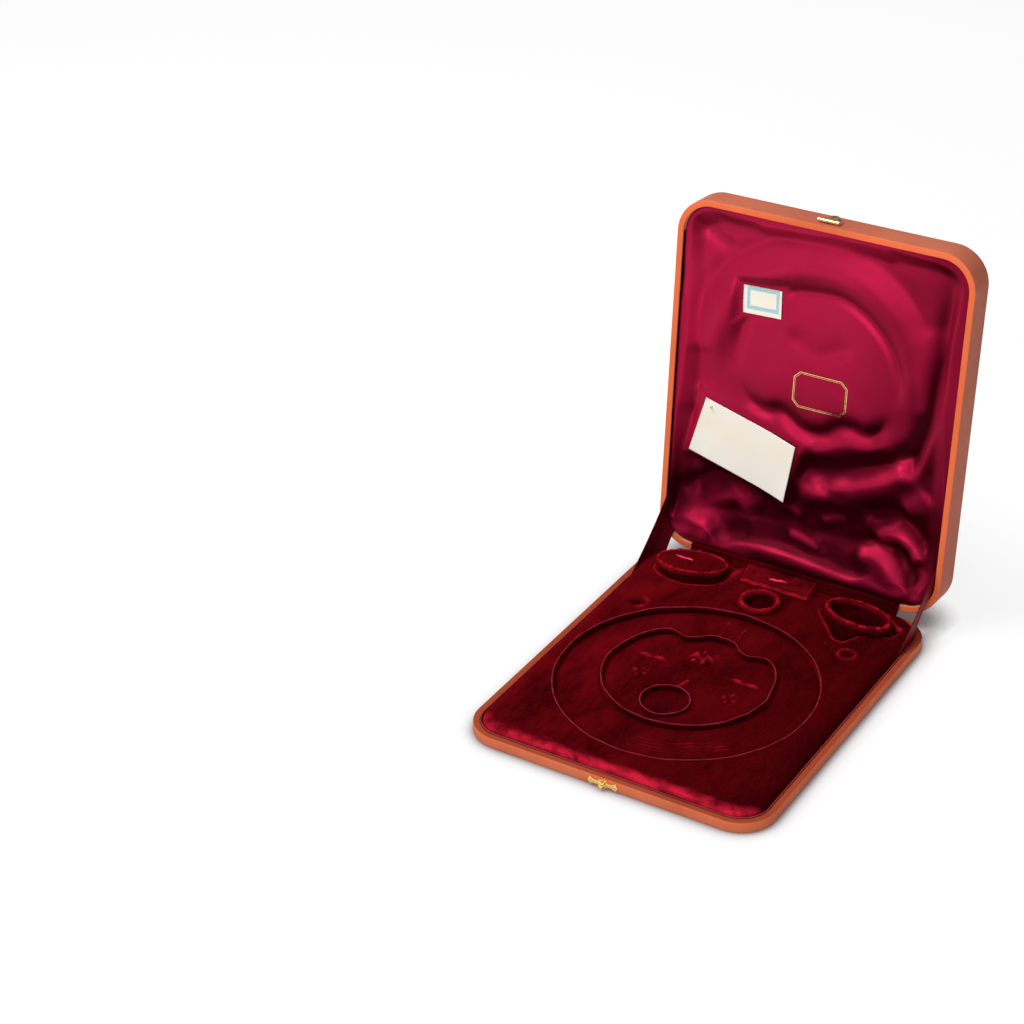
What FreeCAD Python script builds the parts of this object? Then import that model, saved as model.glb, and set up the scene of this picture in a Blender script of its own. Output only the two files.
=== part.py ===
"""A leather-covered fitted jewellery case, open, with a velvet necklace bed and a satin-padded lid."""
import FreeCAD, Part
import math
import os

V = FreeCAD.Vector

# Driving dimensions, millimetres and degrees: the case is laid out round its necklace bed
outer_fence_radius = 88.0
bed_side_room = 19.5
bed_front_room = 25.0
back_row_room = 57.0
corner_radius = 25.0
base_height = 7.5
lid_wall_height = 22.5
lid_bevel_height = 4.5
lid_bevel_inset = 4.0
lid_crown_height = 0.8
lid_crown_inset = 6.0
open_angle = 96.0
parting_gap = 0.2

# Shared fits
overrun = 5.0
glue_line = 0.05
velvet_gap = 0.15
moving_gap = 0.3
shaft_clearance = 0.05
tightest_corner_share = 0.3

# Base shell
leather = 1.0
ledge_width = 4.5
turn_in_width = 12.0
tray_floor_height = 3.2
lip_gap = 0.3
lip_thickness = 0.8
lip_rise = 0.6

# Velvet deck
deck_inset = 6.6
deck_height = 12.5
deck_roll_radius = 3.0

# Necklace bed and the wavy fence in it, which stands a little off the bed's middle
bed_x = -3.5
fence_thickness = 1.2
outer_fence_height = 12.9
necklace_floor_height = 8.2
inner_fence_radius = 58.0
inner_fence_height = 12.2
inner_fence_left = 2.5
inner_fence_back = 8.0
brooch_floor_height = 7.6

# Upper half of the wavy fence, from its side round to its middle, in shares of its radius
wavy_fence_shares = [(0.920, 0.355), (0.805, 0.580), (0.655, 0.700), (0.530, 0.700),
                     (0.410, 0.663), (0.285, 0.715), (0.165, 0.815), (0.0, 0.842)]

# Small pocket in the deck left of the bed, about the bed's middle, in shares of the bed's radius
pocket_shares = (-0.84, 0.76)
pocket_radius = 4.0
pocket_floor_height = 8.0

# Small round well inside the wavy fence
well_left = 0.9
well_front_room = 28.0
well_radius = 17.0
well_fence_height = 9.8
well_floor_height = 5.6

# Oval bracelet posts
post_from_side = 44.2
post_from_back = 27.0
post_half_length = 26.0
post_half_width = 15.0
post_turn = 11.0
left_post_height = 22.0
right_post_height = 20.0
post_roll_radius = 2.0
post_rim_width = 2.6
post_top_dip = 0.8
post_slit_length = 21.0
post_slit_width = 1.6
post_slit_depth = 3.0
post_wall = 5.0
post_hollow_depth = 8.5
right_well_floor_height = 8.0

# Hollow round the right post, about the post's middle, in shares of the post's half length
right_well_shares = [(-1.04, 0.0), (-0.72, -0.40), (-0.20, -0.97), (0.06, -1.02), (0.26, -0.63),
                     (0.55, -0.40), (1.08, -0.30), (1.10, 0.10), (0.49, 0.60), (-0.51, 0.66), (-1.0, 0.42)]

# Raised block at the back, a wedge with a slit
block_x = -3.5
block_from_back = 14.0
block_end_room = 11.3
block_width = 14.0
block_front_height = 15.0
block_back_height = 20.5
block_edge = 1.2
block_slit_length = 15.0
block_slit_width = 1.6
block_slit_depth = 3.0

# Rolled ring in front of the block
roll_x = -4.0
roll_from_back = 40.2
roll_radius = 12.6
roll_section = 2.4
roll_sink = 0.8
roll_floor_height = 9.6

# Butt hinges
hinge_from_side = 45.5
hinge_length = 30.0
hinge_leaf_margin = 0.2
hinge_leaf_thickness = 0.8
knuckle_radius = 2.2
hinge_pin_radius = 0.8
knuckle_gap = 0.1
centre_knuckle_share = 1.0 / 3.0
hinge_screw_radius = 0.9
hinge_screw_length = 1.6
hinge_screw_spacing = 18.0
hinge_screw_back = 2.3

# Cloth strip over the hinge line
strip_from_side = 27.5
strip_thickness = 0.3
strip_base_start = 0.3
strip_base_reach = 1.8
strip_lid_start = 2.0
strip_lid_reach = 2.4

# Catch on the base front
catch_half_length = 10.6
catch_height = 6.6
catch_thickness = 0.7
catch_boss_radius = 3.3
catch_boss_thickness = 1.0
catch_waist = 3.0
catch_flare_share = 0.15
catch_screw_x = 7.8
screw_radius = 1.0
screw_head_rise = 0.35
screw_length = 3.0
screw_slot_width = 0.3
screw_slot_depth = 0.2
stud_neck_radius = 0.9
stud_depth = 3.0
stud_head_radius = 1.5
stud_head_thickness = 1.2
stud_wing_width = 1.3
stud_wing_reach = 3.6

# Hasp on the lid front
hasp_width = 15.0
hasp_plate_thickness = 0.7
hasp_axis_height = 5.0
hasp_plate_height = 8.2
hasp_corner = 1.2
hasp_knuckle_radius = 1.3
hasp_axis_stand = 1.75
hasp_pin_radius = 0.5
hasp_centre_share = 0.5
hasp_leaf_thickness = 0.7
hasp_shoulder = 3.8
hasp_tongue_width = 6.9
hasp_tongue_end = 3.5
hasp_shoulder_round = 2.0
hasp_screw_x = 5.3
hasp_screw_height = 5.0
keyhole_clearance = 0.2

# Lid lining
lining_board_thickness = 1.5
cushion_inset = 6.0
cushion_border_depth = 2.0
cushion_face_depth = 8.5
cushion_edge_width = 1.0
cushion_roll_width = 6.0
cushion_crease_forward = 11.0
outer_crease_inset = 8.0
inner_crease_inset = 4.0
cushion_crease_section = 9.0
cushion_crease_depth = 1.8
cushion_dent_depth = 6.0
cushion_dent_margin = 6.0
cushion_fold_radius = 7.0
cushion_fold_tip_share = 0.25
cushion_fold_rise_share = 0.45

# Main folds of the satin: x and distance from the hinge at the wide and the narrow end, in shares of
# the case width and depth
satin_fold_shares = [((0.02, 0.24), (0.34, 0.37)), ((-0.12, 0.16), (0.16, 0.11)),
                     ((0.20, 0.22), (0.38, 0.08)), ((-0.30, 0.20), (-0.40, 0.09))]

# Papers on the lining
paper_thickness = 0.25
note_from_side = 58.0
note_from_hinge = 83.5
note_length = 76.0
note_width = 43.0
note_turn = 14.5
label_from_side = 63.5
label_from_hinge = 193.0
label_length = 29.0
label_width = 20.0
label_turn = -2.5
pin_radius = 0.35
pin_head_radius = 0.9
pin_length = 7.0
pin_along_share = 0.42
pin_across_share = 0.40

# Ribbon stays, broad bands whose ends run along the sides and on round the back corners
ribbon_thickness = 0.4
ribbon_from_back = 46.0
ribbon_base_height = 6.5
ribbon_from_hinge = 36.0
ribbon_lid_depth = 3.0
ribbon_side_gap = 0.2
ribbon_lid_gap = 0.5
ribbon_corner_turn = 50.0

# Derived sizes and places
case_width = 2 * (outer_fence_radius + bed_side_room)
case_depth = bed_front_room + 2 * outer_fence_radius + back_row_room
half_width = case_width / 2
half_depth = case_depth / 2
bed_y = bed_front_room + outer_fence_radius - half_depth
pocket_x = bed_x + pocket_shares[0] * outer_fence_radius
pocket_y = bed_y + pocket_shares[1] * outer_fence_radius
inner_fence_x = bed_x - inner_fence_left
inner_fence_y = bed_y + inner_fence_back
well_x = inner_fence_x - well_left
well_y = inner_fence_y - inner_fence_radius + well_front_room
post_x = half_width - post_from_side
post_y = half_depth - post_from_back
block_y = half_depth - block_from_back
block_length = 2 * (post_x - post_half_length - block_end_room)
roll_y = half_depth - roll_from_back
hinge_x = half_width - hinge_from_side
hinge_leaf_depth = ledge_width - hinge_leaf_margin
cushion_crease_y = bed_y - cushion_crease_forward
cushion_crease_radii = [inner_fence_radius - inner_crease_inset, outer_fence_radius - outer_crease_inset]
note_x = note_from_side - half_width
label_x = label_from_side - half_width
lid_height = lid_wall_height + lid_bevel_height + lid_crown_height
pivot_y = half_depth + knuckle_radius + moving_gap
pivot_z = base_height + parting_gap / 2
rim_plane = base_height + parting_gap
stud_z = base_height / 2
hasp_axis_y = -half_depth - hasp_axis_stand
hasp_axis_z = rim_plane + hasp_axis_height
keyhole_reach = hasp_axis_z - stud_z


# General shapes
def outline(inset, z):
    """Rounded rectangle of the case, drawn in by an inset, at a height."""
    radius = max(corner_radius - inset, corner_radius * tightest_corner_share)
    return rounded_rectangle(case_width - 2 * inset, case_depth - 2 * inset, radius, z)


def rounded_rectangle(width, depth, radius, z, x=0, y=0):
    right, back = width / 2, depth / 2
    bend = radius * (1 - math.sqrt(0.5))
    corners = []
    for sx, sy in [(1, 1), (-1, 1), (-1, -1), (1, -1)]:
        start = V(x + sx * right, y + sy * (back - radius), z)
        end = V(x + sx * (right - radius), y + sy * back, z)
        if sx * sy < 0:
            start, end = end, start
        middle = V(x + sx * (right - bend), y + sy * (back - bend), z)
        corners.append((start, middle, end))
    edges = []
    for index, (start, middle, end) in enumerate(corners):
        next_start = corners[(index + 1) % len(corners)][0]
        edges.append(Part.Arc(start, middle, end).toShape())
        edges.append(Part.LineSegment(end, next_start).toShape())
    return Part.Wire(edges)


def prism(wire, height):
    return Part.Face(wire).extrude(V(0, 0, height))


def slab(inset, low, high):
    return prism(outline(inset, low), high - low)


def stack(sections):
    """Solid through case outlines given as (inset, height) from one end to the other."""
    return Part.makeLoft([outline(inset, z) for inset, z in sections], True, True)


def disc(x, y, radius, low, high):
    return Part.makeCylinder(radius, high - low, V(x, y, low))


def tube(x, y, outer, inner, low, high):
    return disc(x, y, outer, low, high).cut(disc(x, y, inner, low - overrun, high + overrun))


def block(x0, y0, z0, x1, y1, z1):
    return Part.makeBox(x1 - x0, y1 - y0, z1 - z0, V(x0, y0, z0))


def oval(x, y, half_length, half_width, turn, z):
    edge = Part.Ellipse(V(0, 0, 0), half_length, half_width).toShape()
    wire = Part.Wire([edge])
    wire.rotate(V(0, 0, 0), V(0, 0, 1), turn)
    wire.translate(V(x, y, z))
    return wire


def top_edges(shape, z):
    """Edges that lie flat at a height."""
    return [edge for edge in shape.Edges
            if edge.BoundBox.ZMin > z - glue_line and edge.BoundBox.ZMax < z + glue_line]


def in_place(shape):
    """Takes a lid piece from the shut lid to the open one."""
    moved = shape.copy()
    moved.rotate(V(0, pivot_y, pivot_z), V(1, 0, 0), -open_angle)
    return moved


# Leather-covered base
def hinge_recess(low, high):
    """Pockets for both hinge leaves in the back rim."""
    pockets = []
    half = hinge_length / 2 + glue_line
    front = half_depth - hinge_leaf_depth - glue_line
    for side in (-1, 1):
        x = side * hinge_x
        pockets.append(block(x - half, front, low, x + half, half_depth + overrun, high))
    return pockets


def stud_hole(radius):
    return Part.makeCylinder(radius, stud_depth + overrun, V(0, -half_depth - overrun, stud_z), V(0, 1, 0))


def catch_screw_holes():
    holes = []
    for side in (-1, 1):
        start = V(side * catch_screw_x, -half_depth - overrun, stud_z)
        holes.append(Part.makeCylinder(screw_radius, screw_length + overrun, start, V(0, 1, 0)))
    return holes


def base_hinge_screw_sites():
    sites = []
    for side in (-1, 1):
        for step in (-1, 1):
            sites.append((side * hinge_x + step * hinge_screw_spacing / 2, half_depth - hinge_screw_back))
    return sites


def base_screw_bores():
    return [disc(x, y, hinge_screw_radius, base_height - hinge_leaf_thickness - hinge_screw_length,
                 base_height + overrun) for x, y in base_hinge_screw_sites()]


def base_cover():
    skin = slab(0, 0, base_height)
    skin = skin.cut(slab(leather, leather, base_height - leather))
    skin = skin.cut(slab(ledge_width, base_height - leather - overrun / 2, base_height + overrun))
    skin = skin.cut(slab(turn_in_width, -overrun, leather + overrun / 2))
    cuts = hinge_recess(base_height - hinge_leaf_thickness - glue_line, base_height + overrun)
    cuts += catch_screw_holes() + base_screw_bores() + [stud_hole(stud_neck_radius + shaft_clearance)]
    return skin.cut(Part.Compound(cuts))


def base_board():
    board = slab(leather + glue_line, leather + glue_line, base_height - leather - glue_line)
    board = board.cut(slab(ledge_width, tray_floor_height, base_height + overrun))
    cuts = hinge_recess(base_height - hinge_leaf_thickness - glue_line, base_height + overrun)
    cuts += catch_screw_holes() + base_screw_bores() + [stud_hole(stud_neck_radius + shaft_clearance)]
    return board.cut(Part.Compound(cuts))


def underside_lining():
    return slab(turn_in_width + velvet_gap, 0, leather)


def base_lip():
    lip_inset = ledge_width + lip_gap
    ring = slab(lip_inset, tray_floor_height, base_height + lip_rise)
    return ring.cut(slab(lip_inset + lip_thickness, tray_floor_height - overrun, base_height + overrun))


# Velvet insert
def wavy_outline(radius, z):
    """Half circle in front, three lobes behind, about the middle of the wavy fence."""
    def at(share_x, share_y):
        return V(inner_fence_x + share_x * radius, inner_fence_y + share_y * radius, z)
    front = Part.Arc(at(-1, 0), at(0, -1), at(1, 0)).toShape()
    right = [at(1, 0)] + [at(x, y) for x, y in wavy_fence_shares]
    left = [at(-x, y) for x, y in reversed(wavy_fence_shares[:-1])] + [at(-1, 0)]
    lobes = Part.BSplineCurve()
    lobes.interpolate(Points=right + left, InitialTangent=V(0, 1, 0), FinalTangent=V(0, -1, 0))
    return Part.Wire([front, lobes.toShape()])


def post_outline(side, grow, z):
    return oval(side * post_x, post_y, post_half_length + grow, post_half_width + grow, -side * post_turn, z)


def right_well():
    """Uneven outline of the hollow round the right post."""
    points = [V(post_x + along * post_half_length, post_y + back * post_half_length, right_well_floor_height)
              for along, back in right_well_shares]
    curve = Part.BSplineCurve()
    curve.interpolate(Points=points, PeriodicFlag=True)
    return Part.Wire([curve.toShape()])


def velvet_deck():
    deck = slab(deck_inset, tray_floor_height, deck_height)
    deck = deck.makeFillet(deck_roll_radius, top_edges(deck, deck_height))
    deck = deck.cut(disc(bed_x, bed_y, outer_fence_radius + velvet_gap, tray_floor_height - overrun,
                         deck_height + overrun))
    deck = deck.cut(disc(pocket_x, pocket_y, pocket_radius, pocket_floor_height, deck_height + overrun))
    deck = deck.cut(prism(right_well(), deck_height))
    deck = deck.cut(prism(post_outline(1, velvet_gap, right_well_floor_height), deck_height))
    bore = disc(roll_x, roll_y, roll_radius - roll_section, roll_floor_height, deck_height + overrun)
    return deck.cut(bore)


def outer_fence():
    return tube(bed_x, bed_y, outer_fence_radius, outer_fence_radius - fence_thickness,
                tray_floor_height, outer_fence_height)


def necklace_bed():
    bed = disc(bed_x, bed_y, outer_fence_radius - fence_thickness - velvet_gap,
               tray_floor_height, necklace_floor_height)
    hole = wavy_outline(inner_fence_radius + velvet_gap, tray_floor_height - overrun)
    return bed.cut(prism(hole, necklace_floor_height + overrun))


def inner_fence():
    outside = wavy_outline(inner_fence_radius, tray_floor_height)
    strip = prism(outside, inner_fence_height - tray_floor_height)
    inside = wavy_outline(inner_fence_radius - fence_thickness, tray_floor_height - overrun)
    return strip.cut(prism(inside, inner_fence_height + overrun))


def brooch_bed():
    bed = prism(wavy_outline(inner_fence_radius - fence_thickness - velvet_gap, tray_floor_height),
                brooch_floor_height - tray_floor_height)
    return bed.cut(disc(well_x, well_y, well_radius + velvet_gap, tray_floor_height - overrun,
                        brooch_floor_height + overrun))


def well_fence():
    return tube(well_x, well_y, well_radius, well_radius - fence_thickness,
                tray_floor_height, well_fence_height)


def well_pad():
    radius = well_radius - fence_thickness - velvet_gap
    return disc(well_x, well_y, radius, tray_floor_height, well_floor_height)


def post_slit(side, top):
    cut = block(-post_slit_length / 2, -post_slit_width / 2, top - post_slit_depth,
                post_slit_length / 2, post_slit_width / 2, top + overrun)
    cut.rotate(V(0, 0, 0), V(0, 0, 1), -side * post_turn)
    cut.translate(V(side * post_x, post_y, 0))
    return cut


def bracelet_post_left():
    post = prism(post_outline(-1, 0, deck_height), left_post_height - deck_height)
    post = post.makeFillet(post_roll_radius, top_edges(post, left_post_height))
    post = post.cut(prism(post_outline(-1, -post_rim_width, left_post_height - post_top_dip), overrun))
    return post.cut(post_slit(-1, left_post_height - post_top_dip))


def bracelet_post_right():
    post = prism(post_outline(1, 0, right_well_floor_height), right_post_height - right_well_floor_height)
    post = post.makeFillet(post_roll_radius, top_edges(post, right_post_height))
    return post.cut(prism(post_outline(1, -post_wall, right_post_height - post_hollow_depth),
                          post_hollow_depth + overrun))


def centre_block():
    front, back = block_y - block_width / 2, block_y + block_width / 2
    left, right = block_x - block_length / 2, block_x + block_length / 2
    middle_height = (block_front_height + block_back_height) / 2
    profile = [V(left, front, deck_height), V(left, back, deck_height), V(left, back, block_back_height),
               V(left, front, block_front_height), V(left, front, deck_height)]
    wedge = Part.Face(Part.makePolygon(profile)).extrude(V(block_length, 0, 0))
    upper = [e for e in wedge.Edges if e.BoundBox.ZMin > block_front_height - glue_line]
    wedge = wedge.makeFillet(block_edge, upper)
    slit_x, slit_y = block_slit_length / 2, block_slit_width / 2
    slit = block(block_x - slit_x, block_y - slit_y, middle_height - block_slit_depth,
                 block_x + slit_x, block_y + slit_y, block_back_height + overrun)
    return wedge.cut(slit)


def ring_roll():
    middle = deck_height + roll_section - roll_sink
    ring = Part.makeTorus(roll_radius, roll_section, V(roll_x, roll_y, middle))
    return ring.cut(disc(roll_x, roll_y, roll_radius + overrun, deck_height - overrun, deck_height))


# Catch and turning stud on the base front
def catch_plate():
    """Plate with two pointed fishtail ends and a round boss for the stud."""
    half = catch_height / 2
    narrow = catch_waist / 2
    dip = narrow * (1 + catch_flare_share)
    dip_x = (catch_half_length + catch_boss_radius) / 2
    shoulder_x = (catch_half_length + catch_screw_x) / 2

    def at(x, z):
        return V(x, -half_depth, stud_z + z)

    def end_edges(side):
        waist, shoulder, tip = side * catch_boss_radius, side * shoulder_x, side * catch_half_length
        return [Part.Arc(at(waist, narrow), at(side * dip_x, dip), at(shoulder, half)).toShape(),
                Part.LineSegment(at(shoulder, half), at(tip, 0)).toShape(),
                Part.LineSegment(at(tip, 0), at(shoulder, -half)).toShape(),
                Part.Arc(at(shoulder, -half), at(side * dip_x, -dip), at(waist, -narrow)).toShape()]

    def middle_edge(side):
        return Part.Arc(at(-catch_boss_radius, side * narrow), at(0, side * half),
                        at(catch_boss_radius, side * narrow)).toShape()

    edges = end_edges(-1) + end_edges(1) + [middle_edge(-1), middle_edge(1)]
    outline_wire = Part.Wire(Part.sortEdges(edges)[0])
    plate = Part.Face(outline_wire).extrude(V(0, -catch_thickness, 0))
    boss = Part.makeCylinder(catch_boss_radius, catch_boss_thickness, at(0, 0), V(0, -1, 0))
    plate = plate.fuse(boss).removeSplitter()
    return plate.cut(Part.Compound(catch_screw_holes() + [stud_hole(stud_neck_radius + shaft_clearance)]))


def front_screw(x, z, plate_thickness):
    """Slotted screw through a plate on the front face: shank inside, low head outside."""
    outside = -half_depth - plate_thickness - screw_head_rise
    shank = Part.makeCylinder(screw_radius - glue_line, screw_length + plate_thickness + screw_head_rise,
                              V(x, outside, z), V(0, 1, 0))
    slot = block(x - screw_radius, outside - overrun, z - screw_slot_width / 2,
                 x + screw_radius, outside + screw_slot_depth, z + screw_slot_width / 2)
    return shank.cut(slot)


def catch_screws():
    return Part.Compound([front_screw(side * catch_screw_x, stud_z, catch_thickness) for side in (-1, 1)])


def stud_head_inner():
    """Distance of the stud head's inner face from the front face of the case."""
    return hasp_axis_stand + hasp_leaf_thickness / 2 + moving_gap


def turn_stud():
    inner = -half_depth - stud_head_inner()
    neck = Part.makeCylinder(stud_neck_radius, stud_depth + stud_head_inner() + stud_head_thickness / 2,
                             V(0, inner - stud_head_thickness / 2, stud_z), V(0, 1, 0))
    head = Part.makeCylinder(stud_head_radius, stud_head_thickness, V(0, inner, stud_z), V(0, -1, 0))
    wing = block(-stud_wing_width / 2, inner - stud_head_thickness, stud_z,
                 stud_wing_width / 2, inner, stud_z + stud_wing_reach)
    return head.fuse([wing, neck]).removeSplitter()


# Butt hinges
def knuckle_spans(owner):
    """X ranges of the base's two end knuckles or of the lid's middle one, from the hinge's middle."""
    middle = hinge_length * centre_knuckle_share / 2
    if owner == "lid":
        return [(-middle + knuckle_gap, middle - knuckle_gap)]
    end = hinge_length / 2
    return [(-end, -middle), (middle, end)]


def hinge_leaf(owner, x):
    """Leaf in its pocket and its knuckles round the pin, in the shut position."""
    if owner == "base":
        low, high = base_height - hinge_leaf_thickness, base_height
    else:
        low, high = rim_plane, rim_plane + hinge_leaf_thickness
    leaf = block(x - hinge_length / 2, half_depth - hinge_leaf_depth, low,
                 x + hinge_length / 2, half_depth, high)
    for start, end in knuckle_spans(owner):
        arm = block(x + start, half_depth - hinge_leaf_depth, low, x + end, pivot_y, high)
        barrel = Part.makeCylinder(knuckle_radius, end - start, V(x + start, pivot_y, pivot_z), V(1, 0, 0))
        leaf = leaf.fuse([arm, barrel])
    bore = Part.makeCylinder(hinge_pin_radius + shaft_clearance, hinge_length + overrun,
                             V(x - (hinge_length + overrun) / 2, pivot_y, pivot_z), V(1, 0, 0))
    return leaf.removeSplitter().cut(bore)


def hinge_base_leaves():
    leaves = Part.Compound([hinge_leaf("base", side * hinge_x) for side in (-1, 1)])
    return leaves.cut(Part.Compound(base_screw_bores()))


def hinge_screws():
    low = base_height - hinge_leaf_thickness - hinge_screw_length
    return Part.Compound([disc(x, y, hinge_screw_radius - glue_line, low, base_height)
                          for x, y in base_hinge_screw_sites()])


def hinge_pins():
    starts = [V(side * hinge_x - hinge_length / 2, pivot_y, pivot_z) for side in (-1, 1)]
    return Part.Compound([Part.makeCylinder(hinge_pin_radius, hinge_length, start, V(1, 0, 0))
                          for start in starts])


def lid_screw_bores():
    return [disc(x, y, hinge_screw_radius, rim_plane - overrun,
                 rim_plane + hinge_leaf_thickness + hinge_screw_length) for x, y in base_hinge_screw_sites()]


def hinge_lid_leaves():
    leaves = Part.Compound([hinge_leaf("lid", side * hinge_x) for side in (-1, 1)])
    return in_place(leaves.cut(Part.Compound(lid_screw_bores())))


def lid_hinge_screws():
    high = rim_plane + hinge_leaf_thickness + hinge_screw_length
    return in_place(Part.Compound([disc(x, y, hinge_screw_radius - glue_line, rim_plane, high)
                                   for x, y in base_hinge_screw_sites()]))


def hinge_strip():
    """Cloth strip glued to the back ledge and to the lid's rim, which hides both hinges."""
    half = strip_thickness / 2
    ledge_y = half_depth - hinge_leaf_depth + strip_base_start
    base_z = base_height + glue_line + half
    rim_z = rim_plane - glue_line - half
    lid_ends = [in_place(Part.Vertex(V(0, half_depth - reach, rim_z))).Point
                for reach in (strip_lid_start, strip_lid_start + strip_lid_reach)]
    middle = [V(0, ledge_y, base_z), V(0, ledge_y + strip_base_reach, base_z)] + lid_ends
    x = half_width - strip_from_side
    upper, lower = [], []
    for index, point in enumerate(middle):
        before = middle[max(index - 1, 0)]
        after = middle[min(index + 1, len(middle) - 1)]
        along = (after - before).normalize()
        across = V(0, -along.z, along.y) * half
        upper.append(point + across)
        lower.append(point - across)
    corners = upper + lower[::-1] + upper[:1]
    strip = Part.Face(Part.makePolygon([corner - V(x, 0, 0) for corner in corners]))
    return strip.extrude(V(2 * x, 0, 0))


# Lid shell, drawn shut
def lid_profile(skin):
    """Sections of the lid's outside, or of the space under a skin of the given thickness."""
    slope = skin * lid_bevel_inset / (lid_bevel_inset + lid_bevel_height)
    return [(skin, rim_plane + skin),
            (skin, rim_plane + lid_wall_height - slope),
            (lid_bevel_inset + slope, rim_plane + lid_wall_height + lid_bevel_height - skin),
            (lid_bevel_inset + lid_crown_inset, rim_plane + lid_height - skin)]


def lid_holes():
    """Bores in the lid front for the hasp's screws."""
    holes = []
    for side in (-1, 1):
        start = V(side * hasp_screw_x, -half_depth - overrun, hasp_axis_z + hasp_screw_height)
        holes.append(Part.makeCylinder(screw_radius, screw_length + overrun, start, V(0, 1, 0)))
    return holes


def lid_cover():
    skin = stack(lid_profile(0)).cut(stack(lid_profile(leather)))
    skin = skin.cut(slab(ledge_width, rim_plane - overrun, rim_plane + leather + overrun / 2))
    cuts = hinge_recess(rim_plane - overrun, rim_plane + hinge_leaf_thickness + glue_line)
    return in_place(skin.cut(Part.Compound(cuts + lid_holes() + lid_screw_bores())))


def lid_frame():
    shell = leather + glue_line
    walls = slab(shell, rim_plane + shell, rim_plane + lid_wall_height - leather)
    walls = walls.cut(slab(ledge_width, rim_plane - overrun, rim_plane + lid_height))
    cuts = hinge_recess(rim_plane - overrun, rim_plane + hinge_leaf_thickness + glue_line)
    return in_place(walls.cut(Part.Compound(cuts + lid_holes() + lid_screw_bores())))


def lid_board():
    shell = leather + glue_line
    profile = lid_profile(shell)
    bottom = rim_plane + lid_wall_height - leather
    return in_place(stack([(shell, bottom)] + profile[1:]))


# Satin-padded lining
def lining_face():
    """Height of the face of the lining board, in the shut lid."""
    return rim_plane + lid_wall_height - leather - lining_board_thickness


def lining_board():
    return in_place(slab(ledge_width + velvet_gap, lining_face(), lining_face() + lining_board_thickness))


def satin_cushion():
    """Padded panel with a rolled border, two round creases, two post dents and its main folds."""
    border = rim_plane + cushion_border_depth
    face = rim_plane + cushion_face_depth
    half_roll = cushion_roll_width / 2
    pad = stack([(cushion_inset, lining_face()), (cushion_inset, border + cushion_border_depth),
                 (cushion_inset + cushion_edge_width, border)])
    hollow = stack([(cushion_inset + half_roll, border - overrun), (cushion_inset + half_roll, border),
                    (cushion_inset + cushion_roll_width, (border + face) / 2),
                    (cushion_inset + cushion_roll_width + half_roll, face)])
    pad = pad.cut(hollow)
    for radius in cushion_crease_radii:
        crease = Part.makeTorus(radius, cushion_crease_section,
                                V(0, cushion_crease_y, face + cushion_crease_depth - cushion_crease_section))
        pad = pad.cut(crease)
    for side in (-1, 1):
        mouth = post_outline(side, cushion_dent_margin, face - glue_line)
        floor = post_outline(side, -cushion_dent_margin / 2, face + cushion_dent_depth)
        pad = pad.cut(Part.makeLoft([mouth, floor], True, True))
    for wide, narrow in satin_fold_shares:
        pad = pad.fuse(satin_fold(wide, narrow, face))
    pin_hole = note_pin_shape(pin_radius + glue_line, pin_radius + glue_line)
    return in_place(pad.removeSplitter().cut(pin_hole))


def satin_fold(wide, narrow, face):
    """Tapered half-round fold lying on the face of the pad."""
    def at(shares):
        return V(shares[0] * case_width, half_depth - shares[1] * case_depth, face)
    start, end = at(wide), at(narrow)
    tip = cushion_fold_radius * cushion_fold_tip_share
    sink = cushion_fold_radius * cushion_fold_rise_share
    cone = Part.makeCone(cushion_fold_radius, tip, (end - start).Length,
                         start + V(0, 0, sink), end - start)
    limit = slab(cushion_inset + cushion_roll_width / 2, rim_plane + cushion_border_depth, lining_face())
    return cone.common(limit)


# Papers on the lining
def paper(x, from_hinge, length, width, turn):
    sheet = block(-length / 2, -width / 2, 0, length / 2, width / 2, paper_thickness)
    sheet.rotate(V(0, 0, 0), V(0, 0, 1), turn)
    height = rim_plane + cushion_face_depth - paper_thickness - moving_gap
    sheet.translate(V(x, half_depth - from_hinge, height))
    return sheet


def paper_note():
    note = paper(note_x, note_from_hinge, note_length, note_width, note_turn)
    hole = note_pin_shape(pin_radius + glue_line, pin_radius + glue_line)
    return in_place(note.cut(hole))


def note_pin_shape(shank_radius, head_radius):
    along = -pin_along_share * note_length
    across = pin_across_share * note_width
    turn = math.radians(note_turn)
    x = note_x + along * math.cos(turn) + across * math.sin(turn)
    y = half_depth - note_from_hinge + along * math.sin(turn) - across * math.cos(turn)
    face = rim_plane + cushion_face_depth - moving_gap - paper_thickness
    head = Part.makeSphere(head_radius, V(x, y, face - head_radius))
    shank = Part.makeCylinder(shank_radius, pin_length, V(x, y, face - head_radius))
    return head.fuse(shank)


def note_pin():
    return in_place(note_pin_shape(pin_radius, pin_head_radius))


def paper_label():
    return in_place(paper(label_x, label_from_hinge, label_length, label_width, label_turn))


# Hasp on the lid front, drawn with the lid shut and the leaf folded back over its plate
def hasp_spans(owner):
    middle = hasp_width * hasp_centre_share / 2
    if owner == "leaf":
        return [(-middle + knuckle_gap, middle - knuckle_gap)]
    return [(-hasp_width / 2, -middle), (middle, hasp_width / 2)]


def hasp_barrels(owner):
    barrels = []
    for start, end in hasp_spans(owner):
        left = V(start, hasp_axis_y, hasp_axis_z)
        barrels.append(Part.makeCylinder(hasp_knuckle_radius, end - start, left, V(1, 0, 0)))
    return barrels


def hasp_bore():
    return Part.makeCylinder(hasp_pin_radius + shaft_clearance, hasp_width + overrun,
                             V(-(hasp_width + overrun) / 2, hasp_axis_y, hasp_axis_z), V(1, 0, 0))


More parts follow.
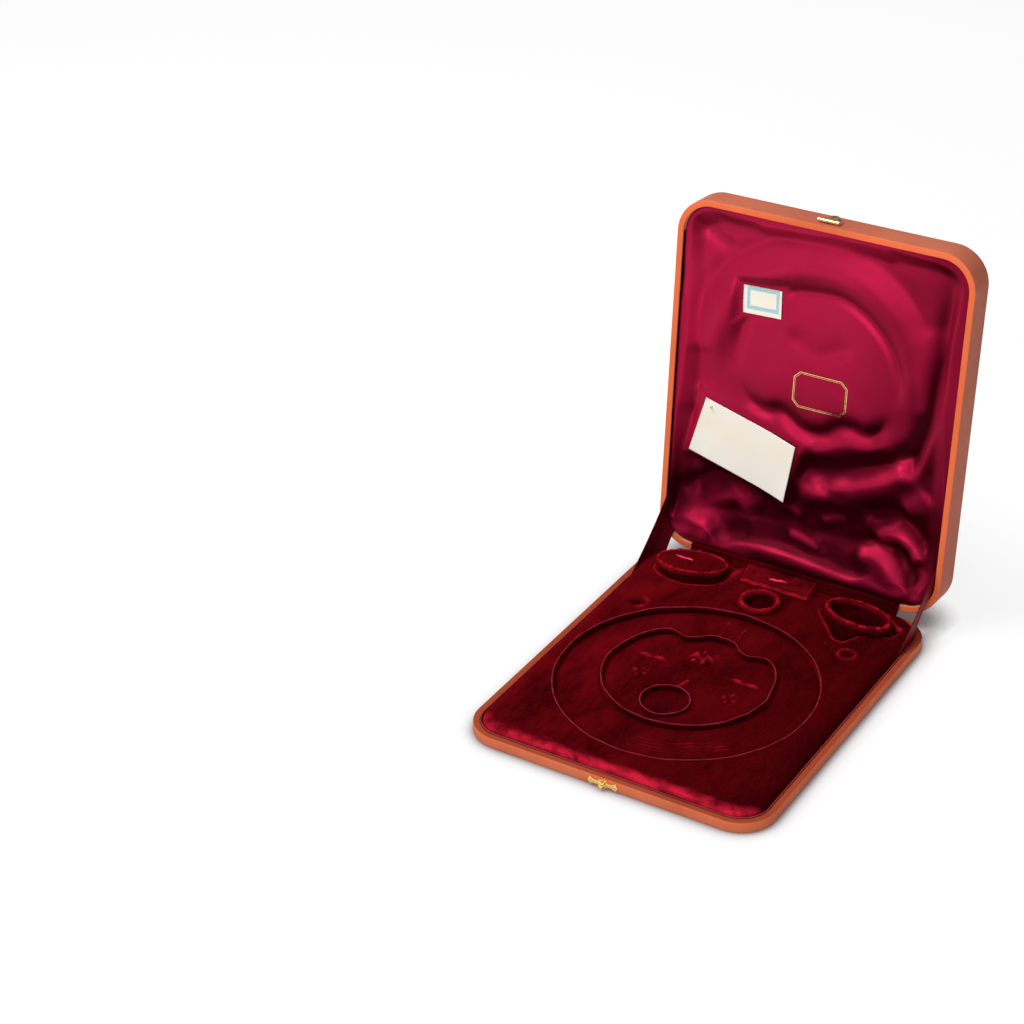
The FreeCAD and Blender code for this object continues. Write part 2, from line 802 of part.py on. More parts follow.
def hasp_plate():
    face_y = -half_depth
    back = face_y - hasp_plate_thickness
    foot = hasp_axis_z + hasp_knuckle_radius + moving_gap
    plate = block(-hasp_width / 2, back, foot, hasp_width / 2, face_y, hasp_axis_z + hasp_plate_height)
    upright = [e for e in plate.Edges
               if e.BoundBox.ZMin > foot + glue_line and e.BoundBox.XMax - e.BoundBox.XMin < glue_line]
    plate = plate.makeFillet(hasp_corner, upright)
    for start, end in hasp_spans("plate"):
        plate = plate.fuse(block(start, back, hasp_axis_z, end, face_y, foot + glue_line))
    plate = plate.fuse(hasp_barrels("plate")).removeSplitter()
    return in_place(plate.cut(Part.Compound(lid_holes() + [hasp_bore()])))


def hasp_screws():
    height = hasp_axis_z + hasp_screw_height
    return in_place(Part.Compound([front_screw(side * hasp_screw_x, height, hasp_plate_thickness)
                                   for side in (-1, 1)]))


def hasp_pin():
    left = V(-hasp_width / 2, hasp_axis_y, hasp_axis_z)
    return in_place(Part.makeCylinder(hasp_pin_radius, hasp_width, left, V(1, 0, 0)))


def keyhole():
    """Round hole for the stud's head with a slot towards the barrel for its wing."""
    centre = V(0, hasp_axis_y - overrun, hasp_axis_z + keyhole_reach)
    wide = stud_head_radius + keyhole_clearance
    slot = stud_wing_width / 2 + keyhole_clearance
    reach = stud_wing_reach + keyhole_clearance
    hole = Part.makeCylinder(wide, overrun * 2, centre, V(0, 1, 0))
    return hole.fuse(block(-slot, hasp_axis_y - overrun, centre.z - reach,
                           slot, hasp_axis_y + overrun, centre.z))


def hasp_leaf():
    inner = hasp_axis_y - hasp_leaf_thickness / 2
    tongue = hasp_tongue_width / 2
    wide = hasp_width / 2
    shoulder = hasp_axis_z + hasp_shoulder
    foot = hasp_axis_z + hasp_knuckle_radius + moving_gap
    round_z = hasp_axis_z + keyhole_reach
    end = round_z + hasp_tongue_end
    bend = hasp_shoulder_round * (1 - math.sqrt(0.5))

    def at(x, z):
        return V(x, inner, z)
    neck = shoulder + hasp_shoulder_round
    edges = [
        Part.LineSegment(at(-wide, foot), at(wide, foot)).toShape(),
        Part.LineSegment(at(wide, foot), at(wide, shoulder)).toShape(),
        Part.LineSegment(at(wide, shoulder), at(tongue + hasp_shoulder_round, shoulder)).toShape(),
        Part.Arc(at(tongue + hasp_shoulder_round, shoulder), at(tongue + bend, shoulder + bend),
                 at(tongue, neck)).toShape(),
        Part.LineSegment(at(tongue, neck), at(tongue, round_z)).toShape(),
        Part.Arc(at(tongue, round_z), at(0, end), at(-tongue, round_z)).toShape(),
        Part.LineSegment(at(-tongue, round_z), at(-tongue, neck)).toShape(),
        Part.Arc(at(-tongue, neck), at(-tongue - bend, shoulder + bend),
                 at(-tongue - hasp_shoulder_round, shoulder)).toShape(),
        Part.LineSegment(at(-tongue - hasp_shoulder_round, shoulder), at(-wide, shoulder)).toShape(),
        Part.LineSegment(at(-wide, shoulder), at(-wide, foot)).toShape(),
    ]
    leaf = Part.Face(Part.Wire(edges)).extrude(V(0, hasp_leaf_thickness, 0))
    for start, end_x in hasp_spans("leaf"):
        leaf = leaf.fuse(block(start, inner, hasp_axis_z,
                               end_x, inner + hasp_leaf_thickness, foot + glue_line))
    leaf = leaf.fuse(hasp_barrels("leaf")).removeSplitter()
    return in_place(leaf.cut(Part.Compound([hasp_bore(), keyhole()])))


# Ribbon stays between the base and the lid
def ribbon_section(side, inset, from_back, z, on_lid):
    """Four edges round a ribbon's section, which runs along a side and on round a back corner."""
    radius = corner_radius - inset
    middle_x, middle_y = half_width - corner_radius, half_depth - corner_radius
    front_y = half_depth - from_back
    run = [(half_width - inset, front_y), (half_width - inset, (front_y + middle_y) / 2)]
    for share in (0, 0.5, 1):
        turn = math.radians(ribbon_corner_turn * share)
        run.append((middle_x + radius * math.cos(turn), middle_y + radius * math.sin(turn)))
    faces = []
    for half in (ribbon_thickness / 2, -ribbon_thickness / 2):
        curve = Part.BSplineCurve()
        curve.interpolate(Points=[V(side * (x + half), y, z) for x, y in run])
        faces.append(curve)
    outer, inner = faces
    edges = [outer.toShape(), inner.toShape(),
             Part.LineSegment(outer.StartPoint, inner.StartPoint).toShape(),
             Part.LineSegment(outer.EndPoint, inner.EndPoint).toShape()]
    return [in_place(edge) for edge in edges] if on_lid else edges


def stay(side):
    """Taut silk band from the slot beside the deck to the slot beside the cushion."""
    base_inset = ledge_width + lip_gap + lip_thickness + ribbon_side_gap + ribbon_thickness / 2
    lid_inset = ledge_width + ribbon_lid_gap + ribbon_thickness / 2
    over_lip = base_height + lip_rise + ribbon_side_gap
    sections = [ribbon_section(side, base_inset, ribbon_from_back, ribbon_base_height, False),
                ribbon_section(side, base_inset, ribbon_from_back, over_lip, False),
                ribbon_section(side, lid_inset, ribbon_from_hinge, rim_plane - moving_gap, True),
                ribbon_section(side, lid_inset, ribbon_from_hinge, rim_plane + ribbon_lid_depth, True)]
    faces = [Part.Face(Part.Wire(Part.sortEdges(ends)[0])) for ends in (sections[0], sections[-1])]
    for low, high in zip(sections, sections[1:]):
        faces += [Part.makeRuledSurface(a, b) for a, b in zip(low, high)]
    shell = Part.Shell(faces)
    shell.sewShape()
    band = Part.Solid(shell)
    return band if band.Volume > 0 else band.reversed()


def stay_left():
    return stay(-1)


def stay_right():
    return stay(1)


PIECES = [base_board, base_cover, underside_lining, base_lip, velvet_deck, outer_fence, necklace_bed,
          inner_fence, brooch_bed, well_fence, well_pad, bracelet_post_left, bracelet_post_right,
          centre_block, ring_roll, catch_plate, catch_screws, turn_stud, hinge_base_leaves, hinge_screws,
          hinge_pins, hinge_strip, lid_frame, lid_board, lid_cover, lining_board, satin_cushion,
          hinge_lid_leaves, lid_hinge_screws, paper_note, note_pin, paper_label, hasp_plate, hasp_screws,
          hasp_pin, hasp_leaf, stay_left, stay_right]

os.makedirs("parts", exist_ok=True)
for piece in PIECES:
    shape = piece()
    print(piece.__name__, "solids", len(shape.Solids), "valid", shape.isValid(), "volume",
          round(shape.Volume, 1))
    shape.exportStep("parts/" + piece.__name__ + ".step")
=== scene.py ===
"""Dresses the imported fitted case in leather, velvet, satin, paper and brass, and lights it."""
import math
import bmesh
import bpy
import numpy as np
from mathutils import Matrix, Vector


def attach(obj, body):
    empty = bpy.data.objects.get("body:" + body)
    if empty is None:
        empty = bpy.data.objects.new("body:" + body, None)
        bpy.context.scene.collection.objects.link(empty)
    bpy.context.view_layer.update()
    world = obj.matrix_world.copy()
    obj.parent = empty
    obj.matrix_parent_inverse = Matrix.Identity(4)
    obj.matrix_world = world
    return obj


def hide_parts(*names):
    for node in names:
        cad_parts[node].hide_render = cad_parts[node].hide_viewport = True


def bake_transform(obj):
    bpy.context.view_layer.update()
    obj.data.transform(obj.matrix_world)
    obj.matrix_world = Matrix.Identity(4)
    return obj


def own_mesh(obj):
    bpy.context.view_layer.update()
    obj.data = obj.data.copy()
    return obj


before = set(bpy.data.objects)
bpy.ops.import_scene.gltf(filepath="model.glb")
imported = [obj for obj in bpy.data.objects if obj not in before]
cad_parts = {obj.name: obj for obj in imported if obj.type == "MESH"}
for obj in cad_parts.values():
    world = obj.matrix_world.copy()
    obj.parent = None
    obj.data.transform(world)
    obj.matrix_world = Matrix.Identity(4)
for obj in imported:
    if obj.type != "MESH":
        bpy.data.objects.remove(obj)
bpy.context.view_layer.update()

MM = 0.001
one_millimetre = 1.0

# Case, in millimetres, as the solids have it
case_width = 215.0
case_depth = 258.0
half_depth = case_depth / 2
corner_radius = 25.0
tightest_corner = 7.5
base_height = 7.5
ledge_width = 4.5
leather_thickness = 1.0
turn_in_width = 12.0
edge_round = 1.0
tray_floor = 3.2
lip_outer_inset = 4.8
lip_thickness = 0.8
lip_top = 8.1

# Lid, drawn shut and then swung open about the hinge pins
open_angle = 96.0
pivot_y = 131.5
pivot_z = 7.6
rim_plane = 7.7
lid_wall_height = 22.5
lid_wall_top = rim_plane + lid_wall_height
bevel_height = 4.5
bevel_inset = 4.0
crown_height = 0.8
crown_inset = 10.0
lining_depth = 20.0

# Leather: its tooled lines, as start, end and blur by inset or by height over the rim, and its rims' painted
# light and shade
black_line = (3.4, 4.6, 0.25)
gilt_line = (12.0, 12.3, 0.1)
panel_edge = (12.2, 12.6)
wall_line_start, wall_line_end, wall_line_blur = 21.7, 21.9, 0.12
rim_blur, rim_start_inset, rim_end_inset = 0.2, 0.1, 0.7
base_rim_drop, base_rim_rise, lid_rim_drop, lid_rim_rise = 0.4, 1.0, 1.0, 0.5
tooling_step, tooling_margin, top_fade = 0.35, 4.0, 1.0

# Steps along the rounded rectangle of the case, and rows and columns of the other meshes
corner_steps = 24
side_steps = 90
long_side_steps = 112
outline_steps = 4 * corner_steps + 2 * side_steps + 2 * long_side_steps
wave_front_steps, wave_lobe_steps = 120, 10
deck_steps, deck_roll_steps, deck_foot_steps = 84, 14, 6
necklace_rows, brooch_rows = 46, 90
outer_fence_steps, well_fence_steps, pad_rows, pad_steps = 480, 160, 14, 120
post_steps, rim_steps, block_rows, block_columns, silk_rows, silk_columns = 200, 13, 26, 84, 9, 25
roll_rows, roll_columns = 28, 180
satin_rows, satin_columns, frame_steps = 250, 208, 24
ribbon_rows, ribbon_columns, ribbon_arc_steps, cloth_columns = 60, 27, 20, 120

# Velvet deck and necklace bed
deck_inset = 6.6
deck_top = 12.5
deck_roll_width = 7.4
deck_back_roll = 1.6
deck_roll_drop = 5.5
deck_back_drop = 1.6
bed_x, bed_y = -3.5, -16.0
fence_thickness = 1.2
fence_gap = 0.15
outer_fence_radius = 88.0
outer_fence_top = 12.9
necklace_floor = 8.2
wave_x, wave_y = -6.0, -8.0
wave_radius = 58.0
wave_top = 12.2
brooch_floor = 7.6
well_x, well_y = -6.9, -38.0
well_radius = 17.0
well_top = 9.8
well_floor = 5.6
wavy_fence_shares = [(0.920, 0.355), (0.805, 0.580), (0.655, 0.700), (0.530, 0.700),
                     (0.410, 0.663), (0.285, 0.715), (0.165, 0.815), (0.0, 0.842)]

# Edges of the velvet pieces, which turn down towards the tray
deck_start_shares, deck_first_share = [0, 0.004], 0.012
deck_skirt, deck_edge_dip, foot_lift, floor_skirt, pad_skirt = 1.0, 0.8, 0.3, 0.5, 0.3
back_roll_fade = (70.0, 112.0)
rubbed_front, rubbed_left, rubbed_right = -110.0, -62.0, 72.0
rubbed_share, pad_last_share = 0.85, 0.02
fence_worn, fence_shade, fence_foot = (0.35, 0.05), (0.4, 1.6), 1.0
floor_shade, floor_lit, floor_edge_reach = (-0.3, -1.6), (0.25, 1.0), 1.6

# Back row: posts, block and rolled ring
post_x, post_y = 63.3, 102.0
post_half_length, post_half_width = 26.0, 15.0
post_turn = 11.0
left_post_top = 22.0
right_post_top = 20.0
post_roll = 2.0
post_wall = 5.0
post_dip = 0.8
left_rim, left_rim_dip, left_face_lift = 2.6, 0.6, 0.2
left_foot, left_neck, left_face = [(0.0, -0.6), (0.25, 2.0)], (0.1, 4.0), (-5.0, -8.0, -11.0, -14.0)
right_foot, right_neck, right_face = [(0.8, -0.3), (0.2, 3.0)], (-0.6, 5.0), (-9.0, -14.0)
hollow_top_gap, hollow_foot_gap, hollow_top_drop = 0.3, 0.2, 4.0
gather_rise, gather_count, gather_reach = 0.22, 23, 2.5
post_lit_drop, post_lit_band, post_shade = 0.9, (-4.5, -2.0), (1.2, 4.0)
hollow_depth = 8.5
recess_floor = 8.0
block_x, block_y = -3.5, 115.0
block_length, block_width = 52.0, 14.0
block_front, block_back = 15.0, 20.5
block_middle = (block_front + block_back) / 2
block_edge_drop, block_edge_width, block_lit_width, block_sink = 1.6, 2.2, 1.4, 0.4
block_slit_sink, block_slit_reach, block_slit_width = 1.6, 8.0, 0.8
block_seam_sink, block_seam_share, block_seam_width_share = 0.5, -0.62, 0.10
block_wave_length = 9.0
roll_x, roll_y = -4.0, 88.8
roll_radius, roll_section = 12.6, 2.4
roll_sink = 0.8
roll_floor = 9.6

# Silk ends in two slits: x, y, length, width and turn of each
silk_ends = {"left_post_silk": (-70.0, 103.8, 15.0, 3.0, -4.0), "block_silk": (-3.0, 114.6, 13.5, 2.6, 6.0)}
silk_rise, silk_waver, silk_sink, silk_lift = 0.7, 0.3, 1.2, 0.1

# Places on the velvet, read from the photograph
post_recess = [(36.2, 102.0), (44.6, 91.5), (58.9, 76.2), (64.8, 75.4), (70.0, 86.1), (77.0, 92.5),
               (90.0, 96.5), (92.0, 108.0), (76.0, 118.0), (50.0, 119.0), (37.5, 111.0)]
finger_hole = (-77.5, 51.0)
pucker_ring = (74.0, 62.5)
drape_line = [(-41.3, 99.0), (-36.0, 107.0), (-30.5, 117.0)]
strap_lines = [[(-12.3, 45.6), (-14.0, 64.1)], [(0.9, 46.9), (-0.6, 63.1)]]
brooch_slits = [((-49.7, 1.9), (-28.4, 3.4)), ((15.7, 4.8), (40.0, 4.4))]
bow_puckers = [(-38.0, -15.8), (27.4, -14.6)]
rosette = (-8.3, 19.1)
well_tab = [(-8.9, -23.7), (-5.0, -10.6)]

# Relief of the velvet: rise or sink of each mark, its reach, and the places between which it fades
drape_rise, drape_reach, drape_fade = 5.2, 5.0, (96.0, 116.0)
recess_soft = 1.2
recess_lip_rise, recess_lip_out, recess_lip_reach, recess_lip_fade = 0.9, 2.2, 1.6, (110.0, 85.0)
hole_turn, hole_half_length, hole_half_width = -25.0, 6.4, 3.6
hole_sink, hole_rim_shares = 4.2, (1.15, 0.75)
hole_lip_rise, hole_lip_shift, hole_lip_fade = 1.3, 1.0, (-3.0, 6.0)
hole_lip_half_length, hole_lip_half_width, hole_lip_share = 8.4, 5.6, 0.22
pucker_radius, pucker_reach, pucker_rise, pucker_waver, pucker_gathers = 6.0, 1.5, 0.9, 0.4, 5
pucker_sink, pucker_sink_reach = 0.6, 4.0
roll_rim = (0.5, 2.5)
ring_pitch, ring_rise = 3.3, 0.32
ring_start, ring_end = (60.0, 64.0), (86.0, 80.0)
ring_front, ring_back, ring_back_share = (-62.0, 42.0), (88.0, 18.0), 0.6
strap_rise, strap_sink, strap_reach, strap_shift = 0.6, 0.4, 0.9, 1.6
slit_shares, slit_reach_share = (0.25, 0.76), 0.20
slit_sink, slit_sink_drop, slit_sink_reach = 2.2, 0.5, 0.9
slit_lip_rise, slit_lip_share, slit_lip_out, slit_lip_reach = 1.3, 0.9, 1.4, 1.1
bow_rise, bow_radius, bow_reach, bow_sink, bow_sink_reach = 1.0, 3.4, 2.4, 0.7, 2.0
bow_gathers, bow_turn = 4, 0.6
rosette_rise, rosette_radius, rosette_petals = 1.1, 9.5, 6
tab_rise, tab_reach = 1.6, 1.1

# Unevenness of each surface: its rise or turn, its wavelength and its seed, added to a piece's own
ripples = {
    "deck": (0.22, 34, 3), "deck fine": (0.10, 11, 4), "deck roll": (0.25, 16, 12),
    "recess edge": (0.8, 9, 8), "recess floor": (0.3, 7, 9),
    "necklace": (0.15, 18, 21), "ring turn": (0.8, 30, 22),
    "brooch": (0.15, 16, 31), "rosette turn": (1.5, 12, 33), "rosette": (0.7, 5, 34), "well": (0.25, 9, 47),
    "block": (0.35, 10, 65), "block ends": (0.3, 12, 66), "block sides": (0.25, 14, 67),
    "satin border": (0.3, 40, 71), "satin low": (0.45, 26, 72), "satin": (0.3, 60, 74),
    "paper": (0.12, 30, 81), "cloth": (0.15, 21, 91),
    "fence": (0.28, 24, 0), "fence worn": (0.25, 9, 1), "silk": (0.15, 4, 0),
    "post gathers": (2.0, 14, 0), "post crush": (0.18, 6, 1), "post lit": (0.35, 7, 2),
}

# Light and shade on the pile: share of each mark, how far out of it the band lies and the band's reach
lit_bands = {"post": (0.8, 1.0, 0.9), "recess": (0.8, 1.4, 1.0), "drape": (0.6, 0.0, 1.2),
             "pucker": (0.45, 6.0, 1.2), "hole": (0.5, 6.2, 1.6)}
post_lit_fade, recess_lit_fade, hole_lit_fade = (112.0, 95.0), (112.0, 92.0), (-2.0, 5.0)
near_shades = {"post": (0.55, 1.2), "block": (0.6, 2.0), "ring": (0.5, 1.2)}
sunk_share, sunk_start, sunk_end = 0.85, 1.0, 3.4
shade_bed_margin, shade_side_margin, shade_front = 6.0, 16.0, -100.0
shade_left, shade_right = -80.0, 110.0

# Satin, with each fold's rise, reach to its left and right, and line by x and distance from the hinge edge
satin_inset = 4.9
satin_border_depth = 1.2
satin_face_depth = 8.5
satin_least, satin_post_room = 0.7, 1.9
satin_tuck = 0.9
satin_border_crest = 1.8
satin_border_width = 15.0
satin_blur = 1.6
satin_end_gap = 0.02
line_fade_share = 0.16
satin_folds = [
    ("sag", -8.0, 60.0, 18.0, [(-140, 36), (0, 36), (140, 36)]),
    ("ring pillow", 5.0, 12.0, 11.0, [(-76, 132), (-78, 152), (-73, 176), (-62, 195), (-43, 212),
        (-18, 222), (5, 224), (28, 219), (48, 206), (62, 190), (70, 170), (73, 150), (69, 130)]),
    ("outer ring", -1.8, 6.0, 6.0, [(-92, 165), (-88, 190), (-76, 211), (-60, 226), (-36, 239),
        (-8, 245), (14, 245), (38, 238), (58, 225), (72, 209), (81, 190)]),
    ("disc", -3.0, 4.0, 3.0, [(-55, 134), (-59, 150), (-59, 165), (-54, 181), (-44, 194), (-28, 203),
        (0, 207), (16, 206), (31, 199), (43, 189), (51, 179), (57, 166), (59, 152), (56, 136)]),
    ("under disc", -3.4, 6.0, 4.5, [(-58, 138), (-50, 124), (-42, 117), (-33, 115), (-25, 117),
        (-17, 113), (-9, 108), (0, 106), (10, 108), (18, 115), (27, 117), (37, 115), (45, 117),
        (51, 125), (57, 138)]),
    ("lobes", 2.4, 7.0, 10.0, [(-72, 126), (-62, 112), (-48, 104), (-30, 102), (-13, 96), (2, 93),
        (14, 99), (28, 104), (44, 104), (58, 114), (68, 130)]),
    ("under lobes", -3.0, 7.0, 8.0, [(-14, 86), (5, 84), (25, 91), (45, 97), (60, 105)]),
    ("over big fold", -3.0, 9.0, 4.0, [(-14, 74), (8, 77), (25, 81), (40, 88), (55, 95), (66, 103),
        (77, 115)]),
    ("big fold", 5.5, 9.0, 14.0, [(-16, 60), (6, 65), (25, 70), (40, 76), (55, 84), (66, 93),
        (76, 106)]),
    ("big fold crease", -2.0, 4.0, 4.0, [(6, 71), (14, 68), (22, 65), (32, 66)]),
    ("right valley", -5.5, 7.0, 3.5, [(70, 88), (74, 104), (78, 118), (82, 132), (84, 150), (86, 175),
        (88, 205), (91, 240)]),
    ("right ridge", 2.0, 5.0, 8.0, [(78, 92), (84, 110), (89, 135), (93, 160), (96, 190), (99, 220)]),
    ("right blob", 3.5, 7.0, 9.0, [(70, 66), (78, 74), (88, 84)]),
    ("right hollow", -4.0, 8.0, 5.0, [(40, 56), (56, 62), (68, 66)]),
    ("over right blade", -3.0, 6.0, 3.0, [(44, 49), (57, 56), (68, 60), (78, 56), (87, 47), (93, 36)]),
    ("right blade", 6.0, 6.0, 7.0, [(48, 42), (60, 47), (70, 47), (80, 40), (87, 30)]),
    ("under right blade", -3.0, 5.0, 5.0, [(44, 37), (58, 38), (72, 35), (80, 29)]),
    ("low right blade", 3.6, 5.0, 7.0, [(36, 24), (48, 28), (60, 26), (72, 19), (84, 10)]),
    ("right fan", 2.5, 4.0, 4.0, [(86, 6), (90, 16), (93, 27), (94, 36)]),
    ("left fan", 5.0, 9.0, 8.0, [(-98, 10), (-88, 24), (-76, 34), (-64, 40), (-54, 44), (-45, 38),
        (-37, 31)]),
    ("left fan top", -3.5, 7.0, 7.0, [(-96, 38), (-80, 50), (-64, 57), (-50, 54), (-40, 44)]),
    ("left arch", -3.0, 5.0, 6.0, [(-72, 22), (-62, 19), (-50, 20), (-40, 24)]),
    ("left corner", 3.0, 5.0, 6.0, [(-98, 8), (-88, 15), (-74, 17), (-64, 12)]),
    ("bottom ridge", 2.0, 3.0, 8.0, [(-72, 11), (-56, 10), (-44, 13), (-20, 14.5), (0, 13.5), (20, 12),
        (40, 10.5), (52, 13), (64, 11), (82, 8)]),
    ("low valley", -2.5, 8.0, 4.0, [(-46, 20), (-20, 20), (0, 19), (20, 18), (40, 16), (56, 18)]),
    ("blade", 2.8, 5.0, 3.0, [(-26, 52), (-15, 46), (-2, 41)]),
    ("spot", 2.4, 5.0, 3.0, [(10, 41), (18, 46), (27, 51)]),
    ("crescent", 2.2, 5.0, 3.0, [(-17, 29), (-4, 25), (8, 24), (18, 26)]),
    ("dimple", -1.5, 9.0, 4.0, [(-26, 176), (-12, 168), (0, 163), (12, 168), (26, 176)]),
    ("left blob", -2.0, 8.0, 8.0, [(-88, 152), (-86, 132), (-82, 120)]),
    ("corner fold", -2.5, 5.0, 6.0, [(-98, 238), (-88, 236), (-76, 228), (-66, 226)]),
    ("top crease", -2.0, 4.0, 6.0, [(-84, 247), (-68, 244), (-46, 246)]),
    ("right top crease", -2.0, 4.0, 6.0, [(44, 246), (62, 243), (84, 246)]),
    ("left edge", -2.5, 6.0, 6.0, [(-90, 52), (-92, 80), (-91, 108)]),
]
# Painted shade along the folds, above 0 deeper and below 0 lighter, with its reach to the left and right of
# the line
disc_foot = [(-58, 138), (-50, 124), (-42, 116.5), (-33, 114.5), (-25, 116.5), (-18, 115),
             (-10, 108.5), (0, 106.5), (8, 107), (14, 111), (20, 115.5), (27, 117), (33, 115), (40, 115),
             (46, 120), (51, 130), (56, 140)]
satin_tones = [
    ("over disc foot", 0.40, 9.0, 1.5, disc_foot),
    ("under disc foot", 0.12, 1.2, 9.0, disc_foot),
    ("under lobes", 0.55, 7.0, 10.0, [(-12, 87), (5, 84), (20, 86), (35, 92), (50, 99), (62, 108)]),
    ("big fold", -0.60, 3.0, 8.0, [(-10, 64), (8, 69), (25, 74), (40, 80), (55, 90), (66, 99),
        (76, 110)]),
    ("big fold foot", -0.52, 6.0, 5.0, [(-10, 62), (4, 66), (16, 68)]),
    ("right blade", -0.80, 4.0, 6.0, [(50, 42), (60, 46), (70, 49), (79, 42), (88, 32)]),
    ("between right blades", 0.50, 4.0, 4.0, [(64, 36), (72, 33), (80, 26), (88, 18)]),
    ("low right blade", -0.45, 3.0, 6.0, [(38, 28), (52, 33), (62, 30), (72, 22), (86, 8)]),
    ("right fan", -0.45, 4.0, 3.0, [(88, 6), (90, 14), (92, 24), (93, 32)]),
    ("right blob", -0.40, 8.0, 7.0, [(70, 70), (80, 75), (92, 78)]),
    ("left fan", -0.65, 8.0, 7.0, [(-100, 8), (-90, 15), (-80, 21), (-68, 12)]),
    ("left fan arch", -0.38, 5.0, 5.0, [(-82, 28), (-66, 37), (-56, 43), (-47, 38), (-38, 28)]),
    ("crescent", -0.55, 1.5, 4.0, [(-14, 29), (-4, 28), (6, 25.5), (14, 23)]),
    ("blade", -0.35, 2.0, 4.0, [(-26, 51), (-14, 47), (-3, 42)]),
    ("spot", -0.45, 2.0, 4.0, [(11, 43), (20, 48), (29, 50)]),
    ("bottom ridge", -0.34, 0.9, 2.4, [(-68, 10), (-56, 9), (-45, 13.5), (-20, 15.5), (0, 14.5),
        (20, 13), (40, 11.5), (52, 14), (66, 12), (84, 8)]),
    ("over bottom ridge", 0.5, 7.0, 2.5, [(-62, 16), (-45, 19), (-20, 20), (0, 19.5), (20, 18),
        (40, 17), (56, 19)]),
    ("bottom band", -0.35, 4.0, 8.0, [(-96, 5), (-70, 6), (-30, 6)]),
    ("right valley", 0.55, 3.5, 1.8, [(70, 88), (74, 104), (78, 118), (82, 132), (84, 150), (86, 175),
        (88, 205)]),
    ("beside right valley", -0.36, 6.0, 6.0, [(74, 138), (76, 152), (77, 172), (78, 192), (78, 206)]),
    ("top band", -0.35, 8.0, 8.0, [(-70, 246), (0, 246), (40, 246), (90, 245)]),
    ("right of the ring", 0.18, 9.0, 9.0, [(10, 238), (36, 229), (54, 215), (68, 194)]),
    ("left side", -0.40, 12.0, 12.0, [(-99, 40), (-99, 90), (-98, 140), (-98, 190), (-98, 230)]),
]
border_gaps = [(-80.0, 248.0, 26.0), (45.0, 248.0, 30.0), (-101.0, 205.0, 20.0)]
border_gap_depth = 1.6
low_border_growth, low_border_fade = 1.4, (55.0, 18.0)
border_fold_fade, post_room_fade, satin_back_gap, satin_board_gap = (0.0, 5.0), (8.0, 16.0), 1.5, 0.3
paper_cover_fade, paper_sink = (9.0, 0.5), 0.4
low_ripple_fade = (120.0, 70.0)

# Painted shade of the calm satin: its share in all, in the middle, low down and at the right, with their
# fades
calm_share, middle_share, low_share, right_share = 0.06, 0.22, 0.66, 0.44
middle_fade, low_fade, right_fade = (165.0, 100.0), (100.0, 58.0), (10.0, 85.0)
facing_share, facing_low_share, deepest_share = 0.9, 0.7, 0.97
facing_limits = (-0.5, 0.35)
facing_up, facing_right, facing_blur = 0.8, 0.6, 1.2

# Papers on the satin
note_x, note_from_hinge = -49.5, 83.5
note_length, note_width = 76.0, 43.0
note_turn = 14.5
label_x, label_from_hinge = -44.0, 193.0
label_length, label_width = 29.0, 20.0
label_turn = -2.5
paper_depth = 8.0
paper_steps = {"note": (85, 61), "label": (151, 105)}
paper_thickness = 0.25
note_bend, note_skew, label_bend = 2.2, 2.8, 0.2
curl_share = 0.2
label_margins = {"left": (2.9, 5.3), "right": (1.9, 4.2), "foot": (3.2, 5.9), "head": (0.6, 3.2)}
label_tooth, label_pitch, label_blur = 0.42, 1.15, 0.1
frame_x, frame_from_hinge = 3.2, 137.0
frame_half_length, frame_half_width = 20.0, 13.0
frame_corner = 4.5
frame_rules = [(0.0, 0.45), (1.1, 1.35)]
frame_search, frame_lift = (-1.5, 0, 1.5), 0.3

# Ribbons, which run along the sides and on round the back corners, and the cloth over the hinges
ribbon_thickness = 0.4
ribbon_base_inset, ribbon_lid_inset = 6.0, 5.0
ribbon_from_back, ribbon_from_hinge = 46.0, 36.0
ribbon_corner_turn = 50.0
ribbon_base_z, ribbon_over_lip = 6.5, 8.4
ribbon_lid_depth = 2.4
ribbon_bow, ribbon_flutter, ribbon_sag, ribbon_rim_gap = 0.9, 0.25, 1.3, 0.2
cloth_half_length = 80.0
cloth_thickness = 0.3
cloth_line = [(124.6, 7.75), (126.8, 7.8), (129.4, 9.6), (131.2, 12.1), (131.6, 14.4), (132.4, 14.95),
              (135.2, 14.7)]
cloth_slack = 0.15

# Edges of the brass
brass_edge = 0.12

# Depth of the fine relief in the materials, in metres
leather_cell_depth, leather_grain_depth, pile_depth, nap_depth = 0.00025, 0.0002, 0.0005, 0.0008
weave_depth, cloth_wave_depth, drawn_line_depth = 0.0002, 0.0012, 0.0001
paper_fibre_depth, paper_wave_depth, wood_grain_depth = 0.0002, 0.0008, 0.0003

# Camera fitted to the photograph
lens = 87.14
sensor = 36.0
camera_place = (627.36, -1190.9, 935.5)
camera_right = (0.84637, 0.53206, -0.02402)
camera_down = (0.25505, -0.44449, -0.85871)


# Small numeric helpers
def uneven(x, y, wavelength, seed):
    """Smooth wandering values of about -1 to 1 over points, the same each run."""
    chance = np.random.default_rng(seed)
    total = np.zeros_like(x)
    waves = 9
    for _ in range(waves):
        heading = chance.uniform(0, 2 * math.pi)
        length = wavelength * chance.uniform(0.6, 1.6)
        phase = chance.uniform(0, 2 * math.pi)
        total += np.sin((x * math.cos(heading) + y * math.sin(heading)) * 2 * math.pi / length + phase)
    return total / math.sqrt(waves)


def ripple(name, x, y, own_seed=0):
    """Unevenness of a named surface."""
    rise, wavelength, seed = ripples[name]
    return rise * uneven(x, y, wavelength, seed + own_seed)


def step(low, high, value):
    """Smooth rise from 0 at low to 1 at high."""
    share = np.clip((value - low) / (high - low), 0, 1)
    return share * share * (3 - 2 * share)


